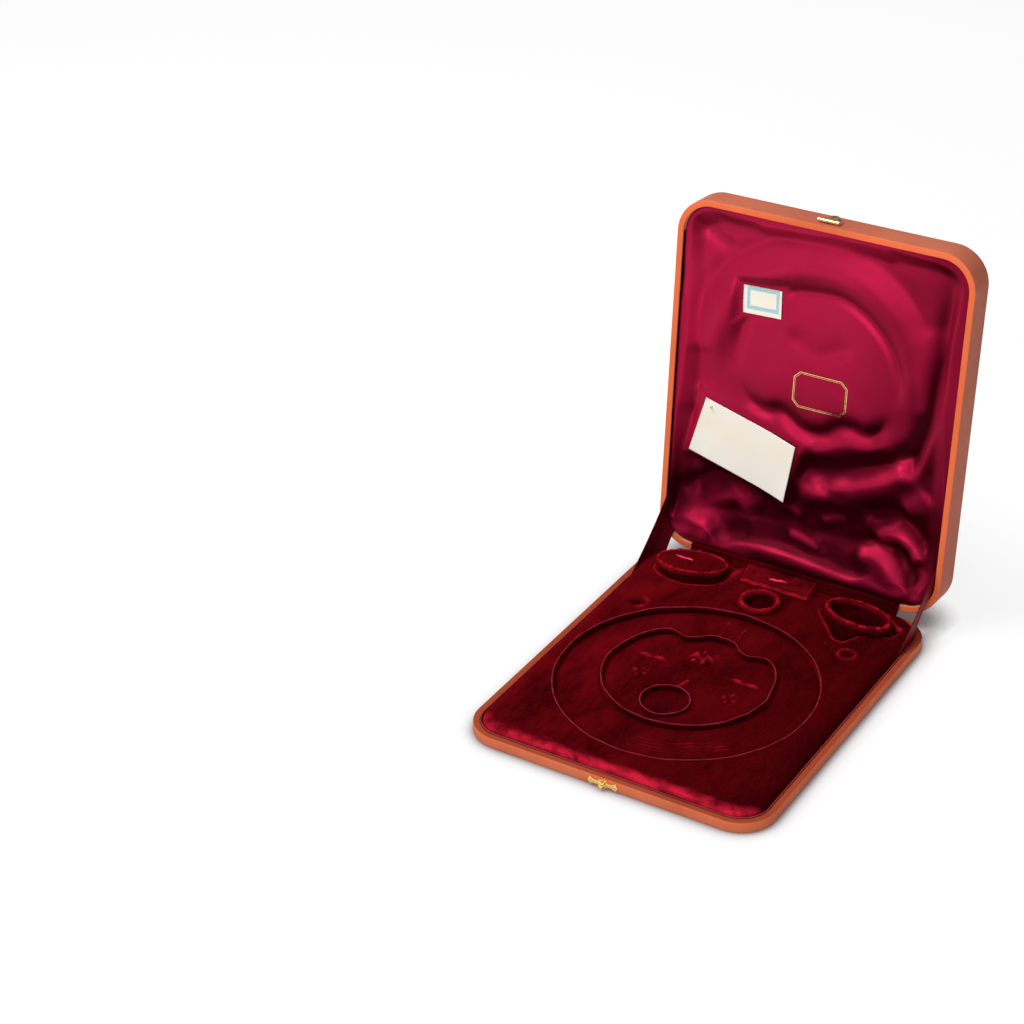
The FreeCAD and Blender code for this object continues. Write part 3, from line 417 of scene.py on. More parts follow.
def hump(offset, reach, power=2):
    """1 where the offset is 0, falling to 0 on both sides past the reach."""
    return np.exp(-(offset / reach) ** power)


def falling(distance, reach):
    """1 at no distance, falling slowly past the reach."""
    return np.exp(-np.maximum(distance, 0) / reach)


def polar(x, y, centre):
    """Distance from a centre and angle about it."""
    return np.hypot(x - centre[0], y - centre[1]), np.arctan2(y - centre[1], x - centre[0])


def turned(x, y, angle):
    """Points turned about the origin by an angle in degrees."""
    a = math.radians(angle)
    return x * math.cos(a) - y * math.sin(a), x * math.sin(a) + y * math.cos(a)


def line_offset(x, y, points):
    """Distance from a run of points, positive to its left, and the share of the run that is nearest."""
    best = np.full(x.shape, np.inf)
    signed = np.zeros_like(x)
    along = np.zeros_like(x)
    runs = len(points) - 1
    for index, ((ax, ay), (bx, by)) in enumerate(zip(points, points[1:])):
        dx, dy = bx - ax, by - ay
        share = np.clip(((x - ax) * dx + (y - ay) * dy) / (dx * dx + dy * dy), 0, 1)
        away = np.hypot(x - ax - share * dx, y - ay - share * dy)
        side = np.where(dx * (y - ay) - dy * (x - ax) >= 0, 1.0, -1.0)
        nearer = away < best
        signed = np.where(nearer, side * away, signed)
        along = np.where(nearer, (index + share) / runs, along)
        best = np.minimum(best, away)
    return signed, along


def ridge(x, y, points, reach):
    """1 along a run of points, falling to 0 on both sides."""
    return hump(line_offset(x, y, points)[0], reach)


def smooth_run(points, steps=8):
    """Points of a smooth curve through a run of points."""
    p = [np.array(q, float) for q in points]
    p = [2 * p[0] - p[1]] + p + [2 * p[-1] - p[-2]]
    curve = []
    for a, b, c, d in zip(p, p[1:], p[2:], p[3:]):
        for t in np.linspace(0, 1, steps, endpoint=False):
            curve.append(0.5 * (2 * b + (c - a) * t + (2 * a - 5 * b + 4 * c - d) * t ** 2
                                + (3 * b - a - 3 * c + d) * t ** 3))
    return [tuple(q) for q in curve] + [tuple(p[-2])]


def inside(x, y, points):
    """True where points lie inside a closed outline."""
    held = np.zeros(x.shape, bool)
    for (ax, ay), (bx, by) in zip(points, points[1:] + points[:1]):
        crosses = (ay > y) != (by > y)
        reach = ax + (y - ay) * (bx - ax) / (by - ay if by != ay else np.inf)
        held ^= crosses & (x < reach)
    return held


def outline_depth(x, y, points):
    """Distance from a closed outline, positive inside it."""
    signed, _ = line_offset(x, y, points + points[:1])
    return np.where(inside(x, y, points), 1, -1) * np.abs(signed)


def opened(points):
    """Takes points of the shut lid to the open one."""
    turn = math.radians(-open_angle)
    moved = np.array(points, float)
    dy, dz = moved[..., 1] - pivot_y, moved[..., 2] - pivot_z
    moved[..., 1] = pivot_y + dy * math.cos(turn) - dz * math.sin(turn)
    moved[..., 2] = pivot_z + dy * math.sin(turn) + dz * math.cos(turn)
    return moved


def shut_point(x, v, depth):
    """Point of the shut lid from its x, distance from the hinge edge and depth behind the rim."""
    return np.stack([x, half_depth - v, rim_plane + depth], axis=-1)


# Outlines
def outline(inset):
    """Points round the case, drawn in by an inset, anticlockwise."""
    radius = max(corner_radius - inset, tightest_corner)
    right, back = case_width / 2 - inset, half_depth - inset
    corners = [(1, -1, -90, long_side_steps), (1, 1, 0, side_steps), (-1, 1, 90, long_side_steps),
               (-1, -1, 180, side_steps)]
    arcs = []
    for sx, sy, start, _ in corners:
        angles = np.radians(start + 90 * np.linspace(0, 1, corner_steps + 1))
        middle = np.array([sx * (right - radius), sy * (back - radius)])
        arcs.append(middle + radius * np.column_stack([np.cos(angles), np.sin(angles)]))
    runs = []
    for arc, after, (_, _, _, steps) in zip(arcs, arcs[1:] + arcs[:1], corners):
        runs += [arc, np.linspace(arc[-1], after[0], steps + 1)[1:-1]]
    return np.concatenate(runs)


def wave_outline():
    """The wavy fence for a radius of 1: half a circle in front and three lobes behind."""
    front = [(math.cos(a), math.sin(a)) for a in np.linspace(math.pi, 2 * math.pi, wave_front_steps)]
    right = [(1.0, 0.0)] + wavy_fence_shares
    left = [(-x, y) for x, y in reversed(wavy_fence_shares[:-1])] + [(-1.0, 0.0)]
    lobes = smooth_run(right + left, wave_lobe_steps)
    return np.array(front + lobes[1:-1])


def round_unit(steps):
    """Circle of radius 1."""
    angles = np.linspace(0, 2 * math.pi, steps, endpoint=False)
    return np.column_stack([np.cos(angles), np.sin(angles)])


def around(centre, unit, stations):
    """Rings of a unit outline at (radius, height) stations about a centre."""
    return np.array([np.column_stack([centre[0] + radius * unit[:, 0], centre[1] + radius * unit[:, 1],
                                      np.full(len(unit), height)]) for radius, height in stations])


def on_circle(centre, radius, points):
    """Points of a circle, each in line with its centre and one of the points given."""
    way = points - np.array(centre)
    return np.array(centre) + way / np.linalg.norm(way, axis=1)[:, None] * radius


def softened(corners, steps=6):
    """Run of points with rounded corners from (inset, height, radius) entries."""
    run = []
    for index, (inset, height, radius) in enumerate(corners):
        here = np.array([inset, height])
        before = np.array(corners[index - 1][:2])
        after = np.array(corners[(index + 1) % len(corners)][:2])
        if radius == 0:
            run.append(here)
            continue
        start = here + (before - here) / np.linalg.norm(before - here) * radius
        end = here + (after - here) / np.linalg.norm(after - here) * radius
        for t in np.linspace(0, 1, steps):
            run.append((1 - t) ** 2 * start + 2 * t * (1 - t) * here + t ** 2 * end)
    return run


# Meshes
def grid_faces(rows, columns, round_columns=False, round_rows=False):
    """Four-sided faces between the points of a grid, closed along its columns or rows where asked."""
    faces = []
    for r in range(rows if round_rows else rows - 1):
        below, above = r * columns, (r + 1) % rows * columns
        for c in range(columns if round_columns else columns - 1):
            right = (c + 1) % columns
            faces.append((below + c, below + right, above + right, above + c))
    return faces


def ring_face(row, columns):
    """One face that closes a ring of a grid."""
    return tuple(row * columns + c for c in range(columns))


def build(name, points, faces, material, traits=None):
    """Mesh object from points in millimetres, with its outside found and its shading smooth."""
    mesh = bpy.data.meshes.new(name)
    mesh.from_pydata((np.asarray(points, float).reshape(-1, 3) * MM).tolist(), [], faces)
    work = bmesh.new()
    work.from_mesh(mesh)
    bmesh.ops.recalc_face_normals(work, faces=work.faces)
    work.to_mesh(mesh)
    work.free()
    mesh.shade_smooth()
    for key, values in (traits or {}).items():
        trait = mesh.attributes.new(key, "FLOAT", "POINT")
        trait.data.foreach_set("value", np.asarray(values, np.float32).ravel())
    mesh.materials.append(material)
    piece = bpy.data.objects.new(name, mesh)
    bpy.context.scene.collection.objects.link(piece)
    return piece


def two_faced(name, front, back, material, traits=None):
    """Closed piece from two grids of as many points, with traits given as a pair for front and back."""
    rows, columns = front.shape[:2]
    count = rows * columns
    grid = grid_faces(rows, columns)
    edge = list(range(columns)) + [r * columns + columns - 1 for r in range(1, rows)]
    edge += [(rows - 1) * columns + c for c in range(columns - 2, -1, -1)]
    edge += [r * columns for r in range(rows - 2, 0, -1)]
    faces = grid + [tuple(count + i for i in reversed(face)) for face in grid]
    faces += [(a, b, b + count, a + count) for a, b in zip(edge, edge[1:] + edge[:1])]
    marks = {key: [np.broadcast_to(side, (rows, columns)) for side in pair]
             for key, pair in (traits or {}).items()}
    return build(name, np.concatenate([front.reshape(-1, 3), back.reshape(-1, 3)]), faces, material, marks)


def sweep(name, profile, material, lid=False):
    """Carries a profile of (inset, height) round the case: closed, or on the lid open with a top."""
    points = np.array([np.column_stack([outline(inset), np.full(outline_steps, height)])
                       for inset, height in profile])
    faces = grid_faces(len(profile), outline_steps, True, not lid)
    if lid:
        points = opened(points)
        faces.append(ring_face(len(profile) - 1, outline_steps))
    insets, heights = np.repeat(np.array(profile).T, outline_steps, axis=1)
    return build(name, points, faces, material, {"inset": insets, "height": heights})


# Materials
class Shader:
    """One Principled material and the few node calls that the finishes share."""

    def __init__(self, name, **values):
        self.material = bpy.data.materials.new(name)
        self.material.use_nodes = True
        self.tree = self.material.node_tree
        self.shader = self.tree.nodes["Principled BSDF"]
        self.place = self.tree.nodes.new("ShaderNodeTexCoord").outputs["Object"]
        for key, value in values.items():
            self.shader.inputs[key.replace("_", " ")].default_value = value

    def put(self, socket, value):
        if isinstance(value, bpy.types.NodeSocket):
            self.tree.links.new(value, socket)
        else:
            socket.default_value = value

    def node(self, kind, **settings):
        made = self.tree.nodes.new(kind)
        for key, value in settings.items():
            setattr(made, key, value)
        return made

    def noise(self, scale, detail=4.0, roughness=0.55, stretch=None):
        made = self.node("ShaderNodeTexNoise")
        vector = self.place
        if stretch:
            mapping = self.node("ShaderNodeMapping")
            mapping.inputs["Scale"].default_value = stretch
            self.put(mapping.inputs["Vector"], self.place)
            vector = mapping.outputs["Vector"]
        self.put(made.inputs["Vector"], vector)
        made.inputs["Scale"].default_value = scale
        made.inputs["Detail"].default_value = detail
        made.inputs["Roughness"].default_value = roughness
        return made.outputs["Fac"]

    def cells(self, scale):
        made = self.node("ShaderNodeTexVoronoi")
        self.put(made.inputs["Vector"], self.place)
        made.inputs["Scale"].default_value = scale
        return made.outputs["Distance"]

    def trait(self, name):
        return self.node("ShaderNodeAttribute", attribute_name=name).outputs["Fac"]

    def part(self, vector, axis):
        split = self.node("ShaderNodeSeparateXYZ")
        self.put(split.inputs[0], vector)
        return split.outputs[axis]

    def spread(self, value, low, high, to_low=0.0, to_high=1.0):
        made = self.node("ShaderNodeMapRange", clamp=True)
        for key, part in (("Value", value), ("From Min", low), ("From Max", high), ("To Min", to_low),
                          ("To Max", to_high)):
            self.put(made.inputs[key], part)
        return made.outputs["Result"]

    def band(self, value, low, high, soft):
        return self.times(self.spread(value, low - soft, low), self.spread(value, high, high + soft, 1, 0))

    def sum(self, operation, a, b):
        made = self.node("ShaderNodeMath", operation=operation)
        self.put(made.inputs[0], a)
        self.put(made.inputs[1], b)
        return made.outputs[0]

    def times(self, a, b):
        return self.sum("MULTIPLY", a, b)

    def mix(self, share, a, b):
        made = self.node("ShaderNodeMix", data_type="RGBA")
        self.put(made.inputs[0], share)
        for socket, colour in zip(made.inputs[6:8], (a, b)):
            self.put(socket, colour if isinstance(colour, bpy.types.NodeSocket) else [*colour, 1])
        return made.outputs[2]

    def relief(self, height, strength, distance, under=None):
        made = self.node("ShaderNodeBump")
        made.inputs["Strength"].default_value = strength
        made.inputs["Distance"].default_value = distance
        self.put(made.inputs["Height"], height)
        if under:
            self.put(made.inputs["Normal"], under)
        return made.outputs["Normal"]

    def wear(self, colour, roughness, normal):
        for key, value in (("Base Color", colour), ("Roughness", roughness), ("Normal", normal)):
            self.put(self.shader.inputs[key], value)
        return self.material


def scaled(colour, share):
    """A colour made lighter or darker."""
    return [min(1, c * share) for c in colour]


def leather_finish(name, tone, dark, lined=False, rim=None):
    """Grained leather with mottling and a few scuffs, a rim band of painted light and shade, and on the lid
    its tooled lines.
    """
    s = Shader(name, Specular_IOR_Level=0.06)
    mottle = s.spread(s.noise(22, 5), 0.3, 0.72)
    fibre = s.spread(s.noise(160, 4, 0.6, (1.0, 2.4, 1.0)), 0.35, 0.7)
    colour = s.mix(s.times(mottle, 0.55), tone, dark)
    colour = s.mix(s.times(fibre, 0.22), colour, scaled(tone, 1.35))
    scuff = s.spread(s.noise(95, 6, 0.7, (3.0, 0.7, 1.0)), 0.66, 0.74)
    colour = s.mix(s.times(scuff, 0.35), colour, scaled(dark, 0.4))
    inset, height = s.trait("inset"), s.trait("height")
    # A rim band in a painted tone: painted shade on the base's ledge, painted highlight on the lid's rim
    if rim:
        low, high, painted_rim_tone = rim
        painted_rim_band = s.times(s.band(height, low, high, rim_blur), s.spread(inset, rim_start_inset, rim_end_inset))
        colour = s.mix(painted_rim_band, colour, s.mix(s.times(mottle, 0.5), painted_rim_tone, scaled(painted_rim_tone, 0.62)))
    if lined:
        on_top = s.spread(height, lid_wall_top, lid_wall_top + top_fade)
        panel = s.times(s.spread(inset, *panel_edge), on_top)
        colour = s.mix(s.times(panel, 0.45), colour, dark)
        black = s.times(s.band(inset, *black_line), on_top)
        colour = s.mix(black, colour, leather_black)
        thin = s.band(height, rim_plane + wall_line_start, rim_plane + wall_line_end, wall_line_blur)
        colour = s.mix(s.times(thin, 0.75), colour, leather_brown)
        gilt = s.times(s.band(inset, *gilt_line), on_top)
        colour = s.mix(s.times(gilt, 0.9), colour, leather_gilt)
    grain = s.relief(s.noise(3000, 3), 0.12, leather_grain_depth)
    normal = s.relief(s.cells(1300), 0.22, leather_cell_depth, grain)
    return s.wear(colour, s.spread(s.noise(60, 4), 0.3, 0.7, 0.46, 0.54), normal)


def velvet_finish(tones):
    """Crimson pile, dark flat: painted sheen to the front, painted light and shade, wear, brushed patches and
    lint.
    """
    s = Shader("velvet", Specular_IOR_Level=0.0, Sheen_Weight=0.4, Sheen_Roughness=0.25,
               Sheen_Tint=(0.60, 0.008, 0.018, 1))
    brushed = s.spread(s.noise(38, 6, 0.62, (1.0, 0.55, 1.0)), 0.34, 0.72)
    streak = s.spread(s.noise(210, 5, 0.65, (1.0, 0.3, 1.0)), 0.35, 0.75)
    colour = s.mix(brushed, tones["flat"], tones["brushed"])
    colour = s.mix(s.times(streak, 0.4), colour, tones["streak"])
    # Painted shade: the velvet darker towards the right
    to_right = s.spread(s.part(s.place, "X"), shade_left * MM, shade_right * MM, 0.30, 0.80)
    colour = s.mix(to_right, colour, tones["shaded"])
    # Painted sheen where the pile faces the front, weighted by a trait of each piece
    normal = s.node("ShaderNodeTexCoord").outputs["Normal"]
    front = s.spread(s.times(s.part(normal, "Y"), -1), 0.12, 0.75)
    front = s.times(front, s.spread(s.noise(70, 6, 0.65, (1.0, 1.6, 1.6)), 0.36, 0.62, 0.12, 1))
    colour = s.mix(s.times(front, s.trait("nap")), colour, tones["front"])
    patchy = s.spread(s.noise(150, 4), 0.35, 0.65, 0.3, 1)
    # Painted highlights by the lit trait
    colour = s.mix(s.times(s.trait("lit"), patchy), colour, tones["lit"])
    # Painted shade by the deep trait
    colour = s.mix(s.trait("deep"), colour, tones["deep"])
    # Pale tops of the fences: wear and a painted highlight
    colour = s.mix(s.times(s.trait("worn"), 0.7), colour, tones["worn"])
    colour = s.mix(s.trait("bare"), colour, tones["bare"])
    speckle = s.spread(s.noise(1000, 4, 0.7), 0.48, 0.72, 0, 0.28)
    colour = s.mix(speckle, colour, tones["speckle"])
    pile = s.noise(2600, 2)
    colour = s.mix(s.spread(pile, 0.62, 0.8, 0, 0.25), colour, tones["pile"])
    lint = s.spread(s.cells(190), 0.035, 0.05, 1, 0)
    lint = s.times(lint, s.spread(s.noise(70, 1), 0.66, 0.7))
    colour = s.mix(s.times(lint, 0.5), colour, tones["lint"])
    nap = s.relief(s.noise(420, 4), 0.35, nap_depth)
    return s.wear(colour, 0.85, s.relief(pile, 0.55, pile_depth, nap))


def satin_finish(name, tone, deep, shaded=None):
    """Silk satin: soft highlights in the colour of the cloth, a fine weave, and a painted shade by its trait.
    """
    s = Shader(name, Metallic=0.5, Specular_IOR_Level=0.2, Specular_Tint=(0.9, 0.05, 0.18, 1),
               Anisotropic=0.25)
    colour = s.mix(s.spread(s.noise(14, 4), 0.3, 0.7), tone, deep)
    thread = s.noise(900, 2, 0.5, (1.0, 0.05, 0.05))
    colour = s.mix(s.spread(thread, 0.4, 0.75, 0, 0.25), colour, deep)
    if shaded:
        colour = s.mix(s.trait("shade"), colour, shaded)
    weave = s.sum("ADD", s.noise(2600, 1, 0.5, (1.0, 0.12, 0.12)), s.noise(1800, 1, 0.5, (0.12, 1.0, 1.0)))
    normal = s.relief(weave, 0.10, weave_depth, s.relief(s.noise(120, 3), 0.08, cloth_wave_depth))
    return s.wear(colour, s.spread(s.noise(40, 3), 0.3, 0.7, 0.40, 0.46), normal)


def brass_finish(name):
    """Gilt brass with tarnish in patches and fine drawn lines."""
    s = Shader(name, Metallic=1.0)
    tarnish = s.spread(s.noise(420, 5, 0.65), 0.45, 0.75)
    colour = s.mix(s.times(tarnish, 0.5), brass_bright, brass_dull)
    normal = s.relief(s.noise(1900, 3, 0.5, (1.0, 0.15, 1.0)), 0.12, drawn_line_depth)
    return s.wear(colour, s.spread(tarnish, 0, 1, 0.16, 0.38), normal)


def paper_finish(name, tone, printed=False):
    """Aged paper with stains, and where asked a printed band that its trait gives."""
    s = Shader(name, Specular_IOR_Level=0.25)
    stain = s.spread(s.noise(45, 5), 0.4, 0.75)
    colour = s.mix(s.times(stain, 0.35), tone, paper_stain)
    if printed:
        speckle = s.spread(s.noise(1500, 2), 0.35, 0.65, 0.55, 1)
        colour = s.mix(s.times(s.trait("print"), speckle), colour, paper_blue)
    fibre, wave = s.noise(1400, 4, 0.6), s.noise(70, 3)
    normal = s.relief(fibre, 0.12, paper_fibre_depth, s.relief(wave, 0.10, paper_wave_depth))
    return s.wear(colour, 0.8, normal)


def wood_finish(name, tone, dark):
    """Plain grain along x."""
    s = Shader(name, Specular_IOR_Level=0.3)
    colour = s.mix(s.spread(s.noise(60, 5, 0.6, (0.25, 3.0, 3.0)), 0.3, 0.7), tone, dark)
    return s.wear(colour, 0.7, s.relief(s.noise(700, 4, 0.6, (0.2, 2.0, 2.0)), 0.2, wood_grain_depth))


# Colours
# Velvet colours: shaded, front, lit and deep are painted shade, sheen, highlight and shade; fence tops are
# wear and painted highlight
velvet_tones = {
    "flat": (0.010, 0.0002, 0.0005), "brushed": (0.150, 0.0022, 0.0050), "streak": (0.20, 0.003, 0.008),
    "shaded": (0.010, 0.0002, 0.0004), "front": (0.47, 0.011, 0.032), "lit": (0.46, 0.008, 0.022),
    "deep": (0.006, 0.0001, 0.0003), "worn": (0.24, 0.024, 0.042), "bare": (0.15, 0.045, 0.013),
    "speckle": (0.19, 0.004, 0.010), "pile": (0.3, 0.01, 0.03), "lint": (0.5, 0.3, 0.3),
}
leather_black, leather_brown = (0.006, 0.004, 0.004), (0.03, 0.008, 0.004)
leather_gilt = (0.80, 0.47, 0.12)
brass_bright, brass_dull = (0.93, 0.66, 0.24), (0.55, 0.30, 0.07)
paper_stain, paper_blue = (0.72, 0.60, 0.42), (0.19, 0.42, 0.52)

# Rim bands as lowest and highest height and tone: painted shade on the base's ledge, painted highlight on the
# lid's rim
base_rim_painted_shade = (base_height - base_rim_drop, base_height + base_rim_rise, (0.29, 0.046, 0.018))
lid_rim_painted_highlight = (rim_plane - lid_rim_drop, rim_plane + lid_rim_rise, (0.66, 0.13, 0.045))
tan = leather_finish("tan_leather", (0.52, 0.130, 0.058), (0.32, 0.068, 0.029), rim=base_rim_painted_shade)
# The lid's leather is painted darker than the base's, as shade
tan_tooled_painted_shade = leather_finish("tan_leather_tooled", (0.41, 0.112, 0.062), (0.27, 0.064, 0.034), True, lid_rim_painted_highlight)
maroon = leather_finish("maroon_leather", (0.20, 0.032, 0.030), (0.09, 0.012, 0.012))
velvet = velvet_finish(velvet_tones)
satin = satin_finish("crimson_satin", (0.41, 0.011, 0.050), (0.34, 0.007, 0.038), (0.024, 0.0002, 0.0012))
ribbon_silk = satin_finish("ribbon_silk", (0.13, 0.004, 0.012), (0.085, 0.002, 0.008))
tab_silk = satin_finish("tab_silk", (0.46, 0.018, 0.07), (0.34, 0.010, 0.045))
brass = brass_finish("gilt_brass")
gilding = brass_finish("gilding")
note_paper = paper_finish("note_paper", (0.70, 0.665, 0.60))
label_paper = paper_finish("label_paper", (0.70, 0.665, 0.57), printed=True)
beech = wood_finish("beech", (0.58, 0.40, 0.22), (0.44, 0.28, 0.14))
card = wood_finish("card", (0.62, 0.55, 0.43), (0.54, 0.46, 0.35))


def seat(piece, body, nodes):
    """Puts a finished piece on its body, in place of its solids."""
    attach(piece, body)
    if nodes:
        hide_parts(*nodes)
    return piece


# Leather of the base and the lid
def base_leather():
    skin = leather_thickness
    fold = ledge_width - skin / 2
    base = softened([
        (turn_in_width, 0, 0), (0, 0, edge_round), (0, base_height, edge_round),
        (ledge_width, base_height, edge_round / 3), (ledge_width, base_height - 2 * skin, 0),
        (fold, base_height - 2 * skin, 0), (fold, base_height - skin, 0), (skin, base_height - skin, 0),
        (skin, skin, 0), (turn_in_width, skin, 0)])
    seat(sweep("base_leather", base, tan), "base", ["base_cover"])
    lip_inner = lip_outer_inset + lip_thickness
    lip = softened([(lip_outer_inset, tray_floor, 0), (lip_outer_inset, lip_top, lip_thickness / 3),
                    (lip_inner, lip_top, lip_thickness / 3), (lip_inner, tray_floor, 0)])
    seat(sweep("lip_leather", lip, maroon), "base", ["base_lip"])


def lid_leather():
    top = lid_wall_top + bevel_height
    crown = top + crown_height
    run = softened([
        (ledge_width, rim_plane + leather_thickness * 6, 0), (ledge_width, rim_plane, edge_round / 2),
        (0, rim_plane, edge_round), (0, lid_wall_top, edge_round * 2), (bevel_inset, top, edge_round * 2),
        (crown_inset, crown, edge_round * 3), (case_width / 4, crown, 0)], 8)
    flat = [crown_inset + edge_round * 4, crown_inset + edge_round * 10, case_width / 8]
    run = run[:-1] + [(inset, crown) for inset in flat] + run[-1:]
    fine = []
    for start, end in zip(run, run[1:]):
        tooled = end[1] > lid_wall_top - edge_round and start[0] < crown_inset + tooling_margin
        pieces = max(1, int(math.dist(start, end) / tooling_step)) if tooled else 1
        fine += list(np.linspace(start, end, pieces, endpoint=False))
    fine.append(run[-1])
    seat(sweep("lid_leather", fine, tan_tooled_painted_shade, lid=True), "lid", ["lid_cover"])


# Velvet insert
def velvet_piece(name, node, points, faces, **traits):
    """Seats a grid of velvet, with each trait a number or a value for each point."""
    marks = {key: np.broadcast_to(value, points.shape[:-1]) for key, value in traits.items()}
    seat(build(name, points, faces, velvet, marks), "base", [node])


def deck_height(x, y):
    """Height of the deck, with its drape, recess, finger hole, pucker ring and the roll's sunk middle."""
    z = deck_top + ripple("deck", x, y) + ripple("deck fine", x, y)
    z += drape_rise * ridge(x, y, drape_line, drape_reach) * step(*drape_fade, y)
    edge = outline_depth(x, y, post_recess)
    recess = step(-recess_soft, recess_soft, edge + ripple("recess edge", x, y))
    z = z * (1 - recess) + (recess_floor + ripple("recess floor", x, y)) * recess
    z += recess_lip_rise * hump(edge + recess_lip_out, recess_lip_reach) * step(*recess_lip_fade, y)
    hx, hy = turned(x - finger_hole[0], y - finger_hole[1], hole_turn)
    z -= hole_sink * step(*hole_rim_shares, np.hypot(hx / hole_half_length, hy / hole_half_width))
    lip = np.hypot((hx - hole_lip_shift) / hole_lip_half_length, hy / hole_lip_half_width) - 1
    z += hole_lip_rise * hump(lip, hole_lip_share) * step(*hole_lip_fade, hx)
    far, spin = polar(x, y, pucker_ring)
    rise = pucker_rise + pucker_waver * np.sin(pucker_gathers * spin + 1)
    z += rise * hump(far - pucker_radius, pucker_reach) - pucker_sink * hump(far, pucker_sink_reach)
    far, _ = polar(x, y, (roll_x, roll_y))
    return z - (deck_top - roll_floor) * step(roll_radius - roll_rim[0], roll_radius - roll_rim[1], far)


def oval_distance(x, y, side):
    """Distance outside a post's oval."""
    px, py = turned(x - side * post_x, y - post_y, side * post_turn)
    reach = np.hypot(px / post_half_length, py / post_half_width)
    return (reach - 1) * np.hypot(px, py) / np.maximum(reach, 0.01)


def deck_lit(x, y):
    """Where the deck's pile catches the light, beside the left post and its other marks."""
    away = {"post": oval_distance(x, y, -1), "recess": -outline_depth(x, y, post_recess),
            "drape": line_offset(x, y, drape_line)[0], "pucker": polar(x, y, pucker_ring)[0],
            "hole": polar(x, y, finger_hole)[0]}
    fades = {"post": step(*post_lit_fade, y), "recess": step(*recess_lit_fade, y),
             "hole": step(*hole_lit_fade, x - finger_hole[0])}
    bands = [share * hump(away[name] - out, reach) * fades.get(name, 1)
             for name, (share, out, reach) in lit_bands.items()]
    return np.clip(np.max(bands, axis=0), 0, 1)


def deck_deep(points):
    """Where the deck lies in its own shade: below its face, and close round the left post, block and ring."""
    x, y, z = points[..., 0], points[..., 1], points[..., 2]
    shaded = polar(x, y, (bed_x, bed_y))[0] < outer_fence_radius + shade_bed_margin
    shaded |= np.abs(x) < case_width / 2 - shade_side_margin
    sunk = sunk_share * step(deck_top - sunk_start, deck_top - sunk_end, z) * shaded * (y > shade_front)
    along, across = np.abs(x - block_x) - block_length / 2, np.abs(y - block_y) - block_width / 2
    away = {"post": oval_distance(x, y, -1), "block": np.maximum(along, across),
            "ring": np.abs(polar(x, y, (roll_x, roll_y))[0] - roll_radius) - roll_section}
    near = [share * falling(away[name], reach) for name, (share, reach) in near_shades.items()]
    return np.clip(np.max([sunk, *near], axis=0), 0, 1)


def velvet_deck():
    foot = outline(deck_inset)
    inward = outline(deck_inset + one_millimetre) - foot
    back = step(*back_roll_fade, foot[:, 1])
    roll = deck_roll_width * (1 - back) + deck_back_roll * back
    drop = deck_roll_drop * (1 - back) + deck_back_drop * back
    edge = foot + inward * roll[:, None]
    inner = on_circle((bed_x, bed_y), outer_fence_radius + fence_gap, edge)
    rings, nap, bare = [], [], []

    def add(xy, z, front, rubbed=0.0):
        rings.append(np.column_stack([xy, np.broadcast_to(z, len(xy))]))
        nap.append(np.full(len(xy), front))
        bare.append(np.broadcast_to(rubbed, len(xy)))

    add(inner, tray_floor + deck_skirt, 0.0)
    for share in np.concatenate([deck_start_shares, np.linspace(deck_first_share, 1, deck_steps)]):
        xy = inner * (1 - share) + edge * share
        add(xy, deck_height(*xy.T) - deck_edge_dip * (share == 0), step(0.55, 1.0, share))
    for angle in np.radians(np.linspace(0, 90, deck_roll_steps + 1)[1:]):
        xy = foot + inward * (roll * (1 - math.sin(angle)))[:, None]
        add(xy, deck_height(*edge.T) - drop * (1 - math.cos(angle)) + ripple("deck roll", *xy.T), 1.0)
    rubbed = (foot[:, 1] < rubbed_front) & (foot[:, 0] > rubbed_left) & (foot[:, 0] < rubbed_right)
    for share in np.linspace(0, 1, deck_foot_steps + 1)[1:]:
        z = (deck_top - drop) * (1 - share) + (tray_floor + foot_lift) * share
        add(foot, z, 1.0, rubbed_share * rubbed)
    points = np.array(rings)
    velvet_piece("deck_velvet", "velvet_deck", points, grid_faces(len(rings), outline_steps, True),
                 nap=np.array(nap), bare=np.array(bare), lit=deck_lit(points[..., 0], points[..., 1]),
                 deep=deck_deep(points))


def fence(name, node, centre, unit, radius, top, seed):
    """Thin velvet-covered strip on edge, its top pale from wear and a painted highlight, painted shade below
    it.
    """
    round_top = fence_thickness / 2
    inner, middle, shoulder = radius - fence_thickness, radius - round_top, top - round_top
    stations = [(radius, tray_floor), (radius, top - 3 * round_top), (radius, shoulder)]
    stations += [(middle + round_top * math.cos(a), shoulder + round_top * math.sin(a))
                 for a in np.radians([25, 50, 75, 90, 105, 130, 155])]
    stations += [(inner, shoulder), (inner, top - 3 * round_top), (inner, tray_floor)]
    points = around(centre, unit, stations)
    x, y, z = points[..., 0], points[..., 1], points[..., 2]
    worn = step(top - fence_worn[0], top - fence_worn[1], z) * (0.75 + ripple("fence worn", x, y, seed))
    z += (z > tray_floor + fence_foot) * ripple("fence", x, y, seed)
    velvet_piece(name, node, points, grid_faces(len(stations), len(unit), True, True),
                 worn=np.clip(worn, 0, 1), lit=0.35 * worn,
                 deep=0.75 * step(top - fence_shade[0], top - fence_shade[1], z))


